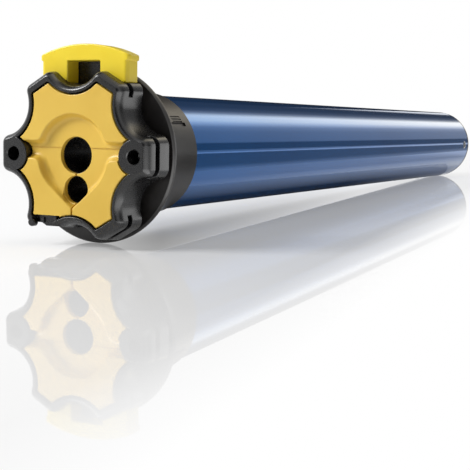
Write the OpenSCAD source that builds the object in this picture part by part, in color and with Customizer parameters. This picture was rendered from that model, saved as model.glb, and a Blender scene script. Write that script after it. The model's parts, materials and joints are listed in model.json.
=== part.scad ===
// Tubular roller blind motor. A fixed six-lobed head carries a turning limit crown,
// and a lacquered steel tube holds the limit unit, capacitor, motor, brake and gearbox.
// Sizes are in millimetres. X is the motor's axis, x = 0 is the face of the two screw
// bosses, +X points to the output shaft and +Z is up.

/* [Fixed head] */
// Lobe's end to a fixing screw
screw_inset = 5.7; // [5.2:0.1:6.2]
// Radius of a fixing screw's pilot hole
screw_hole_r = 2.5; // [2:0.1:3]
// Depth of a fixing screw's pilot hole
screw_hole_depth = 7.6; // [6:0.1:8]
// Radius of the boss round a fixing screw
screw_boss_r = 6; // [5.5:0.1:6.5]
// Axis to a lobe's flat end
front_reach = 31; // [30.6:0.1:31.4]
// Radius of a lobe's two corners
lobe_corner_r = 3; // [2.4:0.1:3.4]
// How far the centre of a hollow lies past the lobes' reach
valley_out = 4.8; // [4:0.1:5.5]
// Radius of the hollow between two lobes
valley_r = 11.4; // [11:0.1:11.8]
// Width of the slope round the front rim
rim_slope = 1.9; // [0.8:0.1:2.2]
// Depth of that slope
slope_depth = 2.4; // [1:0.1:3]
// Depth of the head behind the screw face
head_depth = 13.2; // [12.5:0.1:15]
// Screw face to the ring groove that cuts the lobes
groove_start = 5.2; // [4.6:0.1:6]
// Width of the ring groove
groove_w = 2.3; // [1.6:0.1:3]
// Depth of the ring groove below the lobes' ends
groove_depth = 2.2; // [1.2:0.1:2.4]
// Gap between the head and the crown's flange
neck_gap = 3; // [1:0.1:4]

/* [Face cover] */
// Cover's edge to the wall of a hollow
rim_w = 3.35; // [3:0.05:3.6]
// Cover's edge to a lobe's end
lobe_rim_w = 4.2; // [3.9:0.1:4.6]
// Gap between the cover and the rim
cover_gap = 0.6; // [0.3:0.1:0.8]
// Screw boss face to the cover's face
cover_setback = 0.25; // [0:0.05:0.6]
// Thickness of the cover's skin
cover_skin = 1.8; // [1.2:0.1:2.2]
// Depth of the bracket recess in the cover
recess_depth = 2.8; // [2:0.1:3.4]
// Radius of the round part of the recess at the cover's face
recess_r = 14.5; // [13.4:0.05:15.4]
// How far the recess walls lean in on their way down
recess_lean = 1.6; // [0.4:0.1:2]
// Lower point of the recess to the cover's lower edge
point_inset = 2.15; // [1.6:0.05:3]
// Height of the recess arms' upper edge over the axis
arm_top = 4.9; // [4:0.1:5.5]
// Depth of the recess arms' lower edge below the axis
arm_bottom = 1.4; // [0.9:0.1:2.5]
// Radius of the pivot hole on the axis
pivot_r = 6.5; // [6:0.1:7]
// Radius of the locating hole below it
locating_r = 4.9; // [4.2:0.1:5]
// Axis to the centre of the locating hole
locating_drop = 12.15; // [12:0.05:12.8]
// Depth of both holes behind the screw face
hole_depth = 13.8; // [11:0.1:14]
// Width of the slit that joins the holes to the lower edge
slit_w = 0.8; // [0.4:0.1:1.2]

/* [Cable socket] */
// Width of the socket's mouth
socket_w = 7.2; // [6:0.1:7.6]
// Depth of the socket's mouth, front to back
socket_t = 4.6; // [4.2:0.1:4.8]
// How far the plug goes in
socket_depth = 7.4; // [6:0.1:8]
// Wall of the socket
socket_wall = 0.7; // [0.5:0.1:0.9]
// Contacts in the socket
socket_pin_count = 4; // [2:1:5]
// How far a contact reaches down from the socket's roof
contact_length = 2.6; // [1.5:0.1:2.8]

/* [Limit cap and buttons] */
// Half width of the cap's two legs
cap_half_w = 18.2; // [17:0.1:18.6]
// Height of the cap
cap_height = 13.6; // [12.5:0.1:14.5]
// Radius of the cap's arched top
cap_arch_r = 46.1; // [42:0.1:50]
// Thickness of the lip at the cap's two ends
cap_lip_t = 1.8; // [1.2:0.1:2.4]
// How far that lip stands out
cap_lip_out = 0.7; // [0.4:0.1:1]
// Wall of the cap
cap_wall = 1.15; // [0.9:0.05:1.3]
// Half width of the finger notch between the legs
notch_half_w = 6.8; // [6:0.1:7.4]
// Height of the finger notch
notch_height = 7.6; // [6.4:0.1:8.4]
// Radius of the cap's upright corners
cap_corner_r = 1.5; // [0.5:0.1:1.8]
// How far the cap reaches past the head's back
cap_over = 1.3; // [0:0.1:1.6]
// How far the notch's back apron hangs below its top
apron_drop = 0.9; // [0.4:0.1:1.4]
// How far the web behind the cap reaches past the notch
web_over = 0.5; // [0.3:0.1:1]
// Depth of the cap's ledge below the front lobes' reach
ledge_in = 5.7; // [5.2:0.1:6]
// Radius of a button
button_r = 1.7; // [1.4:0.1:1.8]
// How far a button stands above the ledge
button_h = 5.4; // [4:0.1:6]
// Travel of a button
button_travel = 2.5; // [1.5:0.1:3]

/* [Crown and tube] */
// Outside radius of the motor tube
tube_r = 22.5; // [22:0.1:23]
// Wall of the motor tube
tube_wall = 1; // [0.8:0.1:1.2]
// Length of the motor tube
tube_length = 429.7; // [400:0.1:520]
// How far the crown's flange stands out past the front lobes
flange_out = 1.3; // [0.5:0.1:2]
// Thickness of the crown's flange
flange_t = 2.2; // [1.8:0.1:3]
// Wall of the crown's sleeve
sleeve_wall = 1.05; // [0.9:0.05:1.5]
// Length of the crown with its flange
crown_length = 33.4; // [30:0.1:40]
// Teeth of the ring inside the crown
crown_teeth = 54; // [52:1:54]
// Width of the tooth ring inside the crown
crown_teeth_w = 6; // [5:0.1:7]
// Tube's end to the ring of rivets
rivet_inset = 9; // [6:0.1:14]
// Rivets in the ring
rivet_count = 3; // [2:1:6]

/* [Limit unit] */
// Teeth of the limit pinion that meets the crown
pinion_teeth = 12; // [12:1:14]
// Teeth of the limit pinion that meets the wheels
counter_teeth = 10; // [10:1:12]
// Teeth of the first wheel of each pair
wheel_a_teeth = 44; // [44:1:45]
// Teeth of the second wheel of each pair
wheel_b_teeth = 45; // [45:1:46]
// Width of a limit wheel's teeth
wheel_w = 2.4; // [2:0.1:3]
// Width of a limit wheel's notched disc
notch_disc_w = 1.6; // [1.4:0.1:2]
// Length of the head's plug inside the tube
plug_length = 37.4; // [34:0.1:44]

/* [Motor] */
// Radius of the capacitor
capacitor_r = 15; // [12:0.5:17]
// Length of the capacitor
capacitor_length = 90; // [60:1:100]
// Radius of the rotor
rotor_r = 10.2; // [9.5:0.1:10.6]
// Radius of the rotor's shaft
shaft_r = 4; // [3.4:0.1:4.4]
// Slots in the stator
slot_count = 12; // [8:2:12]
// Thickness of the two bearing bells
bell_t = 7; // [6:0.5:10]
// Length of the winding past each end of the stator
winding_end = 10; // [8:0.5:12]
// Radius of the brake disc
brake_r = 16; // [12:0.5:18]
// Travel of the brake disc
brake_travel = 0.6; // [0.4:0.1:0.8]

/* [Gearbox and output] */
// Wall of the gearbox barrel outside its teeth
barrel_wall = 1.745; // [1.5:0.005:2.2]
// Teeth of each sun gear
sun_teeth = 12; // [12, 15]
// Teeth of each planet gear
planet_teeth = 21; // [18, 21]
// Widths of the three gear stages
stage_w = [10, 14, 22]; // [8:0.5:26]
// Thicknesses of the three planet carriers
carrier_t = [4, 5, 8]; // [3:0.5:9]
// Radius of a planet's pin
pin_r = 2.5; // [2:0.1:3]
// Length of the end cap inside the tube
end_cap_length = 28; // [24:0.5:34]
// Thickness of the end cap's lip
end_lip_t = 2; // [1.5:0.1:3]
// Radius of the output journal
journal_r = 10; // [9:0.1:11]
// Wall of the output bush
bush_wall = 3; // [2:0.1:4]
// Radius of the output shaft
output_r = 7; // [6:0.1:8]
// Axis to the flat of the output shaft
output_flat = 5.4; // [5:0.1:6]
// Length of the output shaft past the end cap
output_length = 22; // [18:0.5:30]

/* [Hidden] */
$fn = 64;

// Clearances between pieces
run_gap = 0.05;     // a shaft in its bore
fit_gap = 0.05;     // a plug in its bore
face_gap = 0.3;     // two faces that pass each other
part_gap = 1;       // two turning pieces side by side
sweep = 1;          // a cutter past the face that it opens

// Turn about X of the first pin or rivet of a ring, which points it to -Y
first_pin = 90;

// Head layers along X
lobes = 6;
screw_spacing = 2*(front_reach - screw_inset);
valley_distance = front_reach + valley_out;
groove_root_r = front_reach - groove_depth;
slope_over = 0.35;
slope_end = 0.06;
corner_steps = 5;
valley_steps = 10;
cover_corner_r = 0.4;
cover_back = cover_setback + recess_depth + cover_skin;
pocket_floor = cover_back + fit_gap;
skirt_w = 1.3;
recess_floor = cover_setback + recess_depth;
recess_point = valley_distance - valley_r - rim_w - point_inset;
wedge_share = 0.97;
bore_step = 0.2;

// Lower left lobe, cut level above the cable socket
lobe_cut_in = 6.6;
lobe_cut_z = lobe_cut_in - front_reach;
cover_cut_in = 2.9;
cover_cut_z = lobe_cut_z + cover_cut_in;
socket_shift = 3.1;
socket_y = front_reach/2 - socket_shift;
cover_cut_y = socket_y - socket_w/2 - socket_wall - cover_cut_in;
socket_front = 2.5;
socket_back = socket_front + socket_t + 2*socket_wall;
socket_top = lobe_cut_z + socket_depth + 2*socket_wall;
contact_r = 0.5;
tongue = [1, 1.4, 1.8];
tongue_y = 0.6;
lobe_cut_depth = socket_back + skirt_w;
rear_cut_drop = 2;
hook_r = 1.5;
hook_in = 0.2;

// Limit cap and buttons
cap_front = groove_start + groove_w;
cap_back = head_depth + cap_over;
ledge_z = front_reach - ledge_in;
cap_base = ledge_z + face_gap;
cap_top = cap_base + cap_height;
notch_top = cap_base + notch_height;
web_half_w = notch_half_w + web_over;
button_y = (notch_half_w + cap_half_w)/2;
cap_roof = 4;
button_x = (cap_front + cap_back)/2;
button_flange_r = 2.7;
button_flange_t = 1.2;
button_cover = 3;
button_seat_z = ledge_z - button_cover;
spring_wire_r = 0.3;
spring_turns = 4;
spring_closed = 2*spring_wire_r*(spring_turns + 1) + 0.2;
well_floor_z = button_seat_z - button_flange_t - button_travel - spring_closed;

// Tube and teeth
tube_bore_r = tube_r - tube_wall;
seat_r = tube_bore_r - fit_gap;
pressure_angle = 25;
addendum = 0.9;
dedendum = 1.15;
flank_steps = 2;
tooth_thin = 0.16;
ring_teeth = sun_teeth + 2*planet_teeth;
coarse_module = (seat_r - barrel_wall)/(ring_teeth/2 + dedendum);
fine_share = 5/7;
fine_module = fine_share*coarse_module;
ring_pitch_r = ring_teeth*coarse_module/2;
ring_tip_r = ring_pitch_r - addendum*coarse_module;
planet_orbit_r = (sun_teeth + planet_teeth)*coarse_module/2;

// Crown and tube along X
flange_r = front_reach + flange_out;
mark_inset = 20;
neck_end = head_depth + neck_gap - face_gap;
crown_start = head_depth + neck_gap;
crown_end = crown_start + crown_length;
crown_teeth_end = crown_start + crown_teeth_w;
tube_start = crown_teeth_end + face_gap;
tube_end = tube_start + tube_length;
sleeve_r = tube_r + run_gap + sleeve_wall;
neck_r = (crown_teeth/2 - addendum)*coarse_module - face_gap;
plug_end = tube_start + plug_length;
plug_wall = 2;
plug_bore_r = seat_r - plug_wall;
plug_pin_x = (tube_start + plug_end)/2;
plug_pin_count = 3;
rivet_r = 1.5;
rivet_head_r = 2.6;
rivet_head_h = 0.8;
rivet_shank = 4;
rivet_x = tube_end - rivet_inset;

// Limit unit along X
pinion_z = (crown_teeth - pinion_teeth)*coarse_module/2;
pinion_tip_r = (pinion_teeth/2 + addendum)*coarse_module;
pinion_shaft_r = 1.5;
pinion_seat = 2;
pinion_start = crown_start + part_gap;
pinion_end = crown_teeth_end - face_gap;
counter_tip_r = (counter_teeth/2 + addendum)*fine_module;
wheel_z = pinion_z - (counter_teeth + wheel_b_teeth)*fine_module/2;
wheel_tip_r = (wheel_b_teeth/2 + addendum)*fine_module;
notch_disc_r = (wheel_a_teeth/2 - dedendum)*fine_module - part_gap;
axle_r = 2;
frame_t = 2;
frame_r = plug_bore_r - fit_gap;
frame_start = tube_start + plug_wall + face_gap;
pair_w = 2*(wheel_w + notch_disc_w) + face_gap;
up_pair_start = frame_start + frame_t + part_gap;
down_pair_start = up_pair_start + pair_w + 2*part_gap;
frame_end = down_pair_start + pair_w + part_gap + frame_t;
switch_w = 10;
switch_top = wheel_z - wheel_tip_r - part_gap;
switch_floor = 1.6;
switch_base = switch_floor - sqrt(pow(frame_r, 2) - pow(switch_w/2, 2));

// Motor, brake and gearbox along X, from the tube's end back to the brake
end_cap_start = tube_end - end_cap_length;
stage_c = end_cap_start - face_gap - carrier_t[2] - part_gap - stage_w[2];
stage_b = stage_c - part_gap - carrier_t[1] - part_gap - stage_w[1];
stage_a = stage_b - part_gap - carrier_t[0] - part_gap - stage_w[0];
stage_x = [stage_a, stage_b, stage_c];
gearbox_inset = 3;
gearbox_start = stage_a - gearbox_inset;
plate_t = 3;
lining_t = 1;
lining_w = 5;
lining_gap = 0.05;
plate_start = gearbox_start - plate_t;
disc_t = 3;
disc_end = plate_start - lining_t - lining_gap;
hub_t = 2;
collar_gap = 0.5;
collar_t = 1;
brake_wire_r = 0.4;
brake_turns = 3;
spring_room = 2*brake_wire_r*(brake_turns + 1) + 4*brake_travel;
brake_bay = collar_gap + collar_t + spring_room + hub_t + disc_t + lining_gap + lining_t;
front_bell_end = plate_start - brake_bay;
front_bell_start = front_bell_end - bell_t;
bell_gap = 1.5;
stator_end = front_bell_start - bell_gap - winding_end;
capacitor_start = plug_end + 2*part_gap;
ring_w = 8;
lead_room = 8;
rear_bell_start = capacitor_start + capacitor_length + lead_room;
rear_bell_end = rear_bell_start + bell_t;
stator_start = rear_bell_end + bell_gap + winding_end;
air_gap = 0.35;
stator_bore_r = rotor_r + air_gap;
slot_mouth = 0.8;
slot_in_r = stator_bore_r + slot_mouth;
yoke_t = 4;
slot_out_r = seat_r - yoke_t;
slot_liner = 0.25;
end_turn_skin = 0.4;
bearing_wall = 4;
bearing_r = shaft_r + bearing_wall;
bell_hole_r = 3;
bell_hole_count = 4;
sun_bore_r = 2.4;
carrier_r = ring_tip_r - 2*face_gap;
collar_w = 3;
collar_r = shaft_r + collar_w;
collar_start = front_bell_end + collar_gap;
collar_end = collar_start + collar_t;
brake_spring_r = shaft_r + 4*brake_wire_r;
planet_count = 3;
lip_end = tube_end + end_lip_t;
clip_t = 1.2;
clip_gap = 0.4;
journal_end = lip_end + clip_gap + clip_t + clip_gap;
clip_groove = 0.9;
clip_out = 2.4;

// Colours as the photograph shows them
black_plastic = "#1d1d20";
face_yellow = "#e2be58";
cap_yellow = "#eede3c";
crown_grey = "#343230";
tube_blue = "#274c7d";
pale_plastic = "#d8d4c8";
bright_steel = "#b9bcc0";
dark_steel = "#6d7074";
brass = "#c2a35a";
copper = "#b06a3c";
lining_brown = "#5b4636";
aluminium = "#c9ccd0";

// A point turned about the origin
function turned(p, a) = [p.x*cos(a) - p.y*sin(a), p.x*sin(a) + p.y*cos(a)];

// Points of an arc, from one angle to another
function arc(c, r, from, to, steps) =
    [for (i = [0:steps]) c + r*[cos(from + (to - from)*i/steps), sin(from + (to - from)*i/steps)]];

// An arc without its two end points
function inner_arc(c, r, from, to, steps) =
    let (points = arc(c, r, from, to, steps)) [for (i = [1:steps - 1]) points[i]];

// Outline of the star: flat lobe ends, round corners and round hollows, all tangent
function star_outline(reach, corner, valley) =
    let (
        pitch = 360/lobes,
        v = valley_distance*[cos(pitch/2), sin(pitch/2)],
        along = reach - corner,
        k = [along, v.y - sqrt(pow(valley + corner, 2) - pow(along - v.x, 2))],
        b = atan2(v.y - k.y, v.x - k.x),
        lobe = concat(
            arc([k.x, -k.y], corner, -b, 0, corner_steps),
            arc(k, corner, 0, b, corner_steps),
            inner_arc(v, valley, 180 + b, 180 + pitch - b, valley_steps)))
    [for (i = [0:lobes - 1]) each [for (p = lobe) turned(p, i*pitch)]];

// Half angle of an involute tooth at a radius
function tooth_half(teeth, size, thin, radius) =
    let (
        pitch_r = teeth*size/2,
        a = acos(min(1, pitch_r*cos(pressure_angle)/radius)),
        inv = function (x) tan(x)*180/PI - x)
    90/teeth - thin/2/pitch_r*180/PI + inv(pressure_angle) - inv(a);

// Outline of an involute gear with one tooth centred at angle zero
function gear_outline(teeth, size, tip, root, thin) =
    let (
        pitch_r = teeth*size/2,
        tip_r = pitch_r + tip*size,
        root_r = pitch_r - root*size,
        base_r = max(root_r, pitch_r*cos(pressure_angle)),
        radii = [for (i = [0:flank_steps]) base_r + (tip_r - base_r)*i/flank_steps],
        half = [for (r = radii) tooth_half(teeth, size, thin, r)],
        foot = root_r < base_r - 0.01 ? [[root_r, half[0]]] : [],
        flank = concat(foot, [for (i = [0:flank_steps]) [radii[i], half[i]]]),
        last = len(flank) - 1)
    [for (t = [0:teeth - 1]) each concat(
        [for (i = [0:last]) flank[i].x*[cos(t*360/teeth - flank[i].y), sin(t*360/teeth - flank[i].y)]],
        [for (i = [last:-1:0]) flank[i].x*[cos(t*360/teeth + flank[i].y), sin(t*360/teeth + flank[i].y)]])];

// A flat outline in Y and Z, drawn along X
module x_extrude(from, to)
    translate([from, 0, 0]) rotate([90, 0, 90]) linear_extrude(to - from) children();

// A cone along X
module x_cone(from, to, r_from, r_to)
    translate([from, 0, 0]) rotate([0, 90, 0]) cylinder(h = to - from, r1 = r_from, r2 = r_to);

// A rod along X
module x_rod(from, to, r, y = 0, z = 0)
    translate([from, y, z]) rotate([0, 90, 0]) cylinder(h = to - from, r = r);

// A tube along X
module x_ring(from, to, outer, inner)
    difference() {
        x_rod(from, to, outer);
        x_rod(from - sweep, to + sweep, inner);
    }

// Children repeated at equal angles about X
module around(count, first = 0)
    for (i = [0:count - 1]) rotate([first + i*360/count, 0, 0]) children();

// External teeth along X, with one tooth towards an angle
module x_gear(from, to, teeth, size, angle = 0)
    x_extrude(from, to) rotate(angle)
        polygon(gear_outline(teeth, size, addendum, dedendum, tooth_thin));

// Space that internal teeth leave, with one space centred at an angle
module x_tooth_ring_space(from, to, teeth, angle)
    x_extrude(from, to) rotate(angle)
        polygon(gear_outline(teeth, coarse_module, dedendum, addendum, -tooth_thin/2));

// A helical compression spring that stands on its lower end, along Z
module coil_spring(r, wire_r, length, turns) {
    steps = 8;
    sides = 6;
    rings = steps*turns;
    rise = length - 2*wire_r;
    points = [for (i = [0:rings]) each [for (j = [0:sides - 1])
        let (a = i*360/steps, b = j*360/sides, d = r + wire_r*cos(b))
        [d*cos(a), d*sin(a), wire_r + rise*i/rings + wire_r*sin(b)]]];
    skin = [for (i = [0:rings - 1]) each [for (j = [0:sides - 1])
        let (k = (j + 1)%sides)
        each [[i*sides + j, (i + 1)*sides + j, i*sides + k],
              [i*sides + k, (i + 1)*sides + j, (i + 1)*sides + k]]]];
    ends = [[for (j = [0:sides - 1]) j], [for (j = [sides - 1:-1:0]) rings*sides + j]];
    polyhedron(points, concat(skin, ends));
}

// The two screw bosses in the face's plane
module screw_circles(r)
    for (side = [-1, 1]) translate([side*screw_spacing/2, 0]) circle(r);

// Bracket recess with leaning walls, or the plain shape behind it, wider by a margin:
// a round, two arms, and a wedge that runs down to a point
module recess_shape(margin, lean, to) {
    from = cover_setback - sweep;
    slope = atan(lean/recess_depth);
    fore = margin + sweep*tan(slope);
    half = recess_point + front_reach;
    point_a = asin(wedge_share*recess_r/recess_point);
    x_cone(from, to, recess_r + fore, recess_r + margin - lean);
    rotate([90, 0, 0]) linear_extrude(2*front_reach, center = true) polygon([
        [from, -arm_bottom - fore], [to, lean - arm_bottom - margin],
        [to, arm_top + margin - lean], [from, arm_top + fore]]);
    shared_by_both_sides() intersection() {
        translate([cover_setback, 0, -recess_point]) rotate([-point_a, 0, 0]) translate([0, margin, 0])
            rotate([0, 0, -slope]) translate([-half, -2*half, -half]) cube(2*half);
        rotate([-point_a, 0, 0]) translate([from, -2*half, -2*half]) cube([to - from, 4*half, 2*half]);
    }
}

// What a child and its mirror image across the middle have in common
module shared_by_both_sides() intersection() {
    children();
    mirror([0, 1, 0]) children();
}

// Pocket that the cable socket sits in, open below and in front
module socket_pocket()
    translate([-sweep, socket_y - socket_w/2 - socket_wall - fit_gap, -2*front_reach])
        cube([socket_back + fit_gap + sweep, socket_w + 2*(socket_wall + fit_gap),
              socket_top + fit_gap + 2*front_reach]);

// Well of one setting button, open to the back for assembly
module button_well(side) {
    top = cap_top;
    translate([button_x, side*button_y, 0]) {
        translate([0, 0, button_seat_z]) cylinder(h = top, r = button_r + run_gap);
        translate([0, 0, well_floor_z])
            cylinder(h = button_seat_z - well_floor_z, r = button_flange_r + 2*run_gap);
        translate([0, -button_flange_r - 2*run_gap, well_floor_z])
            cube([head_depth - button_x + sweep, 2*button_flange_r + 4*run_gap,
                  button_seat_z - well_floor_z]);
        translate([0, -button_r - run_gap, button_seat_z])
            cube([head_depth - button_x + sweep, 2*button_r + 2*run_gap, top]);
    }
}

// What the slope round the front rim takes off the lobes' ends and the hollows' edges
module front_slope() {
    tip_r = front_reach + slope_over;
    growth = rim_slope/slope_depth;
    difference() {
        x_rod(-sweep, slope_depth, 2*front_reach);
        x_cone(-2*sweep, slope_depth + sweep, tip_r - growth*(slope_depth + 2*sweep), tip_r + growth*sweep);
    }
    around(lobes, 180/lobes) translate([0, valley_distance, 0])
        x_cone(-sweep, slope_depth, valley_r + growth*(slope_depth + sweep), valley_r - slope_end);
}

// Star, neck and tube plug of the fixed head, moulded in one piece
module head_housing() color(black_plastic) {
    wall = star_outline(front_reach, lobe_corner_r, valley_r);
    pocket = star_outline(front_reach - lobe_rim_w + cover_gap, cover_corner_r + cover_gap,
                          valley_r + rim_w - cover_gap);
    difference() {
        union() {
            x_extrude(0, head_depth) polygon(wall);
            x_rod(head_depth - sweep, tube_start + sweep, neck_r);
            x_rod(tube_start, plug_end, seat_r);
            cap_web(head_depth - sweep, ledge_z);
            cap_web(cap_back + face_gap, notch_top + web_over);
        }
        front_slope();
        x_ring(groove_start, groove_start + groove_w, 2*front_reach, groove_root_r);
        x_extrude(-sweep, pocket_floor) difference() {
            polygon(pocket);
            screw_circles(screw_boss_r);
        }
        for (side = [-1, 1])
            x_rod(-sweep, screw_hole_depth, screw_hole_r, side*screw_spacing/2, 0);
        x_rod(0, hole_depth, pivot_r - bore_step);
        x_rod(0, hole_depth, locating_r - bore_step, 0, -locating_drop);
        translate([groove_start, -2*front_reach, ledge_z])
            cube([head_depth - groove_start + sweep, 4*front_reach, cap_top]);
        translate([-sweep, cover_cut_y, lobe_cut_z - front_reach])
            cube([lobe_cut_depth + sweep, front_reach, front_reach]);
        translate([0, 0, lobe_cut_z - rear_cut_drop - front_reach])
            cube([head_depth + sweep, front_reach, front_reach]);
        socket_pocket();
        for (side = [-1, 1]) button_well(side);
        x_rod(pinion_start - part_gap + face_gap, pinion_end + face_gap,
              pinion_tip_r + face_gap, 0, pinion_z);
        x_rod(neck_end - pinion_seat, pinion_start, pinion_shaft_r + run_gap, 0, pinion_z);
        x_rod(pinion_start, frame_start, counter_tip_r + 2*face_gap, 0, pinion_z);
        x_rod(tube_start + plug_wall, plug_end + sweep, plug_bore_r);
        around(plug_pin_count, first_pin) x_pin_hole(plug_pin_x);
    }
    latch_hook();
}

// One step of the web that closes the cap's notch from behind, up to the crown's flange
module cap_web(from, top)
    translate([from, -web_half_w, 0]) cube([neck_end - from, 2*web_half_w, top]);

// Radial hole through the tube's wall and what sits behind it
module x_pin_hole(x)
    translate([x, 0, 0]) cylinder(h = 2*tube_r, r = rivet_r + fit_gap);

// Claw of the cable latch at the left end of the rim
module latch_hook()
    x_rod(0, socket_front - face_gap, hook_r, socket_y + socket_w/2 + hook_r - hook_in, lobe_cut_z);

// Yellow cover: a skin with a skirt, and the bracket recess sunk into it
module face_cover() color(face_yellow) {
    reach = front_reach - lobe_rim_w;
    outer = star_outline(reach, cover_corner_r, valley_r + rim_w);
    inner = star_outline(reach - skirt_w, cover_corner_r, valley_r + rim_w + skirt_w);
    hinge_line = 0.35;
    hinge_drop = 2.5;
    difference() {
        union() {
            x_extrude(cover_setback, cover_setback + cover_skin) polygon(outer);
            x_extrude(cover_setback, cover_back) difference() {
                polygon(outer);
                polygon(inner);
            }
            intersection() {
                x_extrude(cover_setback, cover_back) polygon(outer);
                recess_shape(cover_skin, 0, cover_back);
            }
            x_extrude(cover_setback, cover_back) intersection() {
                polygon(outer);
                union() {
                    translate([cover_cut_y, cover_cut_z]) square([front_reach, skirt_w]);
                    screw_circles(screw_boss_r + cover_gap + skirt_w);
                }
            }
        }
        recess_shape(0, recess_lean, recess_floor);
        x_extrude(-sweep, cover_back + sweep) {
            circle(pivot_r);
            translate([0, -locating_drop]) circle(locating_r);
            translate([-slit_w/2, -front_reach]) square([slit_w, front_reach]);
            screw_circles(screw_boss_r + cover_gap);
            translate([cover_cut_y, cover_cut_z - front_reach]) square(front_reach);
        }
        translate([recess_floor, 0, arm_top - hinge_drop])
            cube([hinge_line, 2*front_reach, hinge_line], center = true);
        translate([socket_front - face_gap + sweep, 0, 0]) socket_pocket();
    }
}

// Socket of the cable plug, with its mouth downwards
module cable_socket() color(black_plastic)
    translate([socket_front, socket_y, lobe_cut_z]) {
        width = socket_w + 2*socket_wall;
        difference() {
            translate([0, -width/2, 0])
                cube([socket_t + 2*socket_wall, width, socket_top - lobe_cut_z]);
            translate([socket_wall, -socket_w/2, -sweep]) cube([socket_t, socket_w, socket_depth + sweep]);
            contact_places() translate([0, 0, socket_depth - sweep])
                cylinder(h = 2*socket_wall + 2*sweep, r = contact_r + fit_gap);
        }
        translate([face_gap - tongue.x, tongue_y, 0]) cube(tongue - [face_gap, 0, 0]);
    }

// Places of the contacts in the socket's roof, in the socket's own frame
module contact_places()
    for (i = [0:socket_pin_count - 1])
        translate([socket_wall + socket_t/2, (i + 0.5)*socket_w/socket_pin_count - socket_w/2, 0])
            children();

// Contacts of the cable socket
module socket_contacts() color(brass)
    translate([socket_front, socket_y, lobe_cut_z]) contact_places()
        translate([0, 0, socket_depth - contact_length])
            cylinder(h = 2*socket_wall + contact_length, r = contact_r);

// Lift-off cap over the two setting buttons
module limit_cap() color(cap_yellow) {
    arch_z = cap_top - cap_arch_r;
    end_w = cap_half_w + cap_lip_out;
    end_a = asin(end_w/cap_arch_r);
    lip_z = arch_z + cap_arch_r*cos(end_a) - cap_lip_t;
    pocket_w = cap_half_w - notch_half_w - 2*cap_wall;
    apron_t = 0.9;
    difference() {
        union() {
            intersection() {
                x_extrude(cap_front, cap_back)
                    polygon(concat(arc([0, arch_z], cap_arch_r, 90 - end_a, 90 + end_a, 24),
                                   [[-end_w, lip_z], [end_w, lip_z]]));
                linear_extrude(2*cap_top) cap_plan(end_w);
            }
            translate([0, 0, cap_base])
                linear_extrude(lip_z - cap_base + cap_lip_t/2) cap_plan(cap_half_w);
        }
        x_extrude(cap_front - sweep, cap_back - apron_t)
            translate([-notch_half_w, 0]) square([2*notch_half_w, notch_top]);
        x_extrude(cap_front - sweep, cap_back + sweep)
            translate([-notch_half_w, 0]) square([2*notch_half_w, notch_top - apron_drop]);
        for (side = [-1, 1])
            translate([cap_front + cap_wall, side*(notch_half_w + cap_half_w)/2 - pocket_w/2, 0])
                cube([cap_back - cap_front - 2*cap_wall, pocket_w, cap_top - cap_roof]);
    }
}

// The cap seen from above, with two round front corners
module cap_plan(half) {
    r = cap_corner_r;
    translate([cap_front + r, -half]) square([cap_back - cap_front - r, 2*half]);
    translate([cap_front, r - half]) square([cap_back - cap_front, 2*(half - r)]);
    for (side = [-1, 1]) translate([cap_front + r, side*(half - r)]) circle(r);
}

// One setting button, trapped by its flange
module setting_button(side) color(black_plastic)
    translate([button_x, side*button_y, 0]) {
        translate([0, 0, button_seat_z - button_flange_t - run_gap])
            cylinder(h = button_flange_t, r = button_flange_r);
        translate([0, 0, button_seat_z - button_flange_t - run_gap])
            cylinder(h = ledge_z + button_h - button_seat_z + button_flange_t + run_gap, r = button_r);
    }

module up_button() setting_button(1);
module down_button() setting_button(-1);

// Return spring under one button
module button_spring(side) color(bright_steel) {
    length = button_seat_z - button_flange_t - well_floor_z - 3*run_gap;
    translate([button_x, side*button_y, well_floor_z + run_gap])
        coil_spring(button_flange_r - 2*spring_wire_r, spring_wire_r, length, spring_turns);
}

module up_button_spring() button_spring(1);
module down_button_spring() button_spring(-1);

// Turning crown: flange, sleeve and the tooth ring that drives the limit pinion
module crown() color(crown_grey) {
    edge = 0.7;
    bore = tube_r + run_gap;
    mark = [7, 0.35, 0.6];
    mark_x = crown_start + mark_inset;
    mark_angle = 143;
    mark_step = 2.6;
    mark_count = 3;
    notch_over = 1.5;
    notch = [mark.x + 2*notch_over, 0.6, 1.6];
    notch_x = mark_x - notch_over;
    notch_angle = mark_angle + 8;
    difference() {
        rotate([0, 90, 0]) rotate_extrude() polygon([
            [pinion_z, crown_start], [flange_r - edge, crown_start],
            [flange_r, crown_start + edge], [flange_r, crown_start + flange_t - edge/2],
            [flange_r - edge/2, crown_start + flange_t], [sleeve_r, crown_start + flange_t],
            [sleeve_r, crown_end - edge], [sleeve_r - edge, crown_end], [bore, crown_end],
            [bore, crown_teeth_end], [pinion_z, crown_teeth_end]]);
        x_tooth_ring_space(crown_start - sweep, crown_teeth_end + sweep, crown_teeth, 90);
        for (i = [0:mark_count - 1]) rotate([mark_angle + i*mark_step, 0, 0])
            translate([mark_x, sleeve_r - mark.y, -mark.z/2]) cube(mark + [0, sweep, 0]);
        rotate([notch_angle, 0, 0]) translate([notch_x, sleeve_r - notch.y, -notch.z/2])
            cube(notch + [0, sweep, 0]);
    }
}

// Lacquered steel tube
module motor_tube() color(tube_blue)
    difference() {
        x_ring(tube_start, tube_end, tube_r, tube_bore_r);
        around(rivet_count, first_pin) x_pin_hole(rivet_x);
        around(plug_pin_count, first_pin) x_pin_hole(plug_pin_x);
    }

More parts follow.
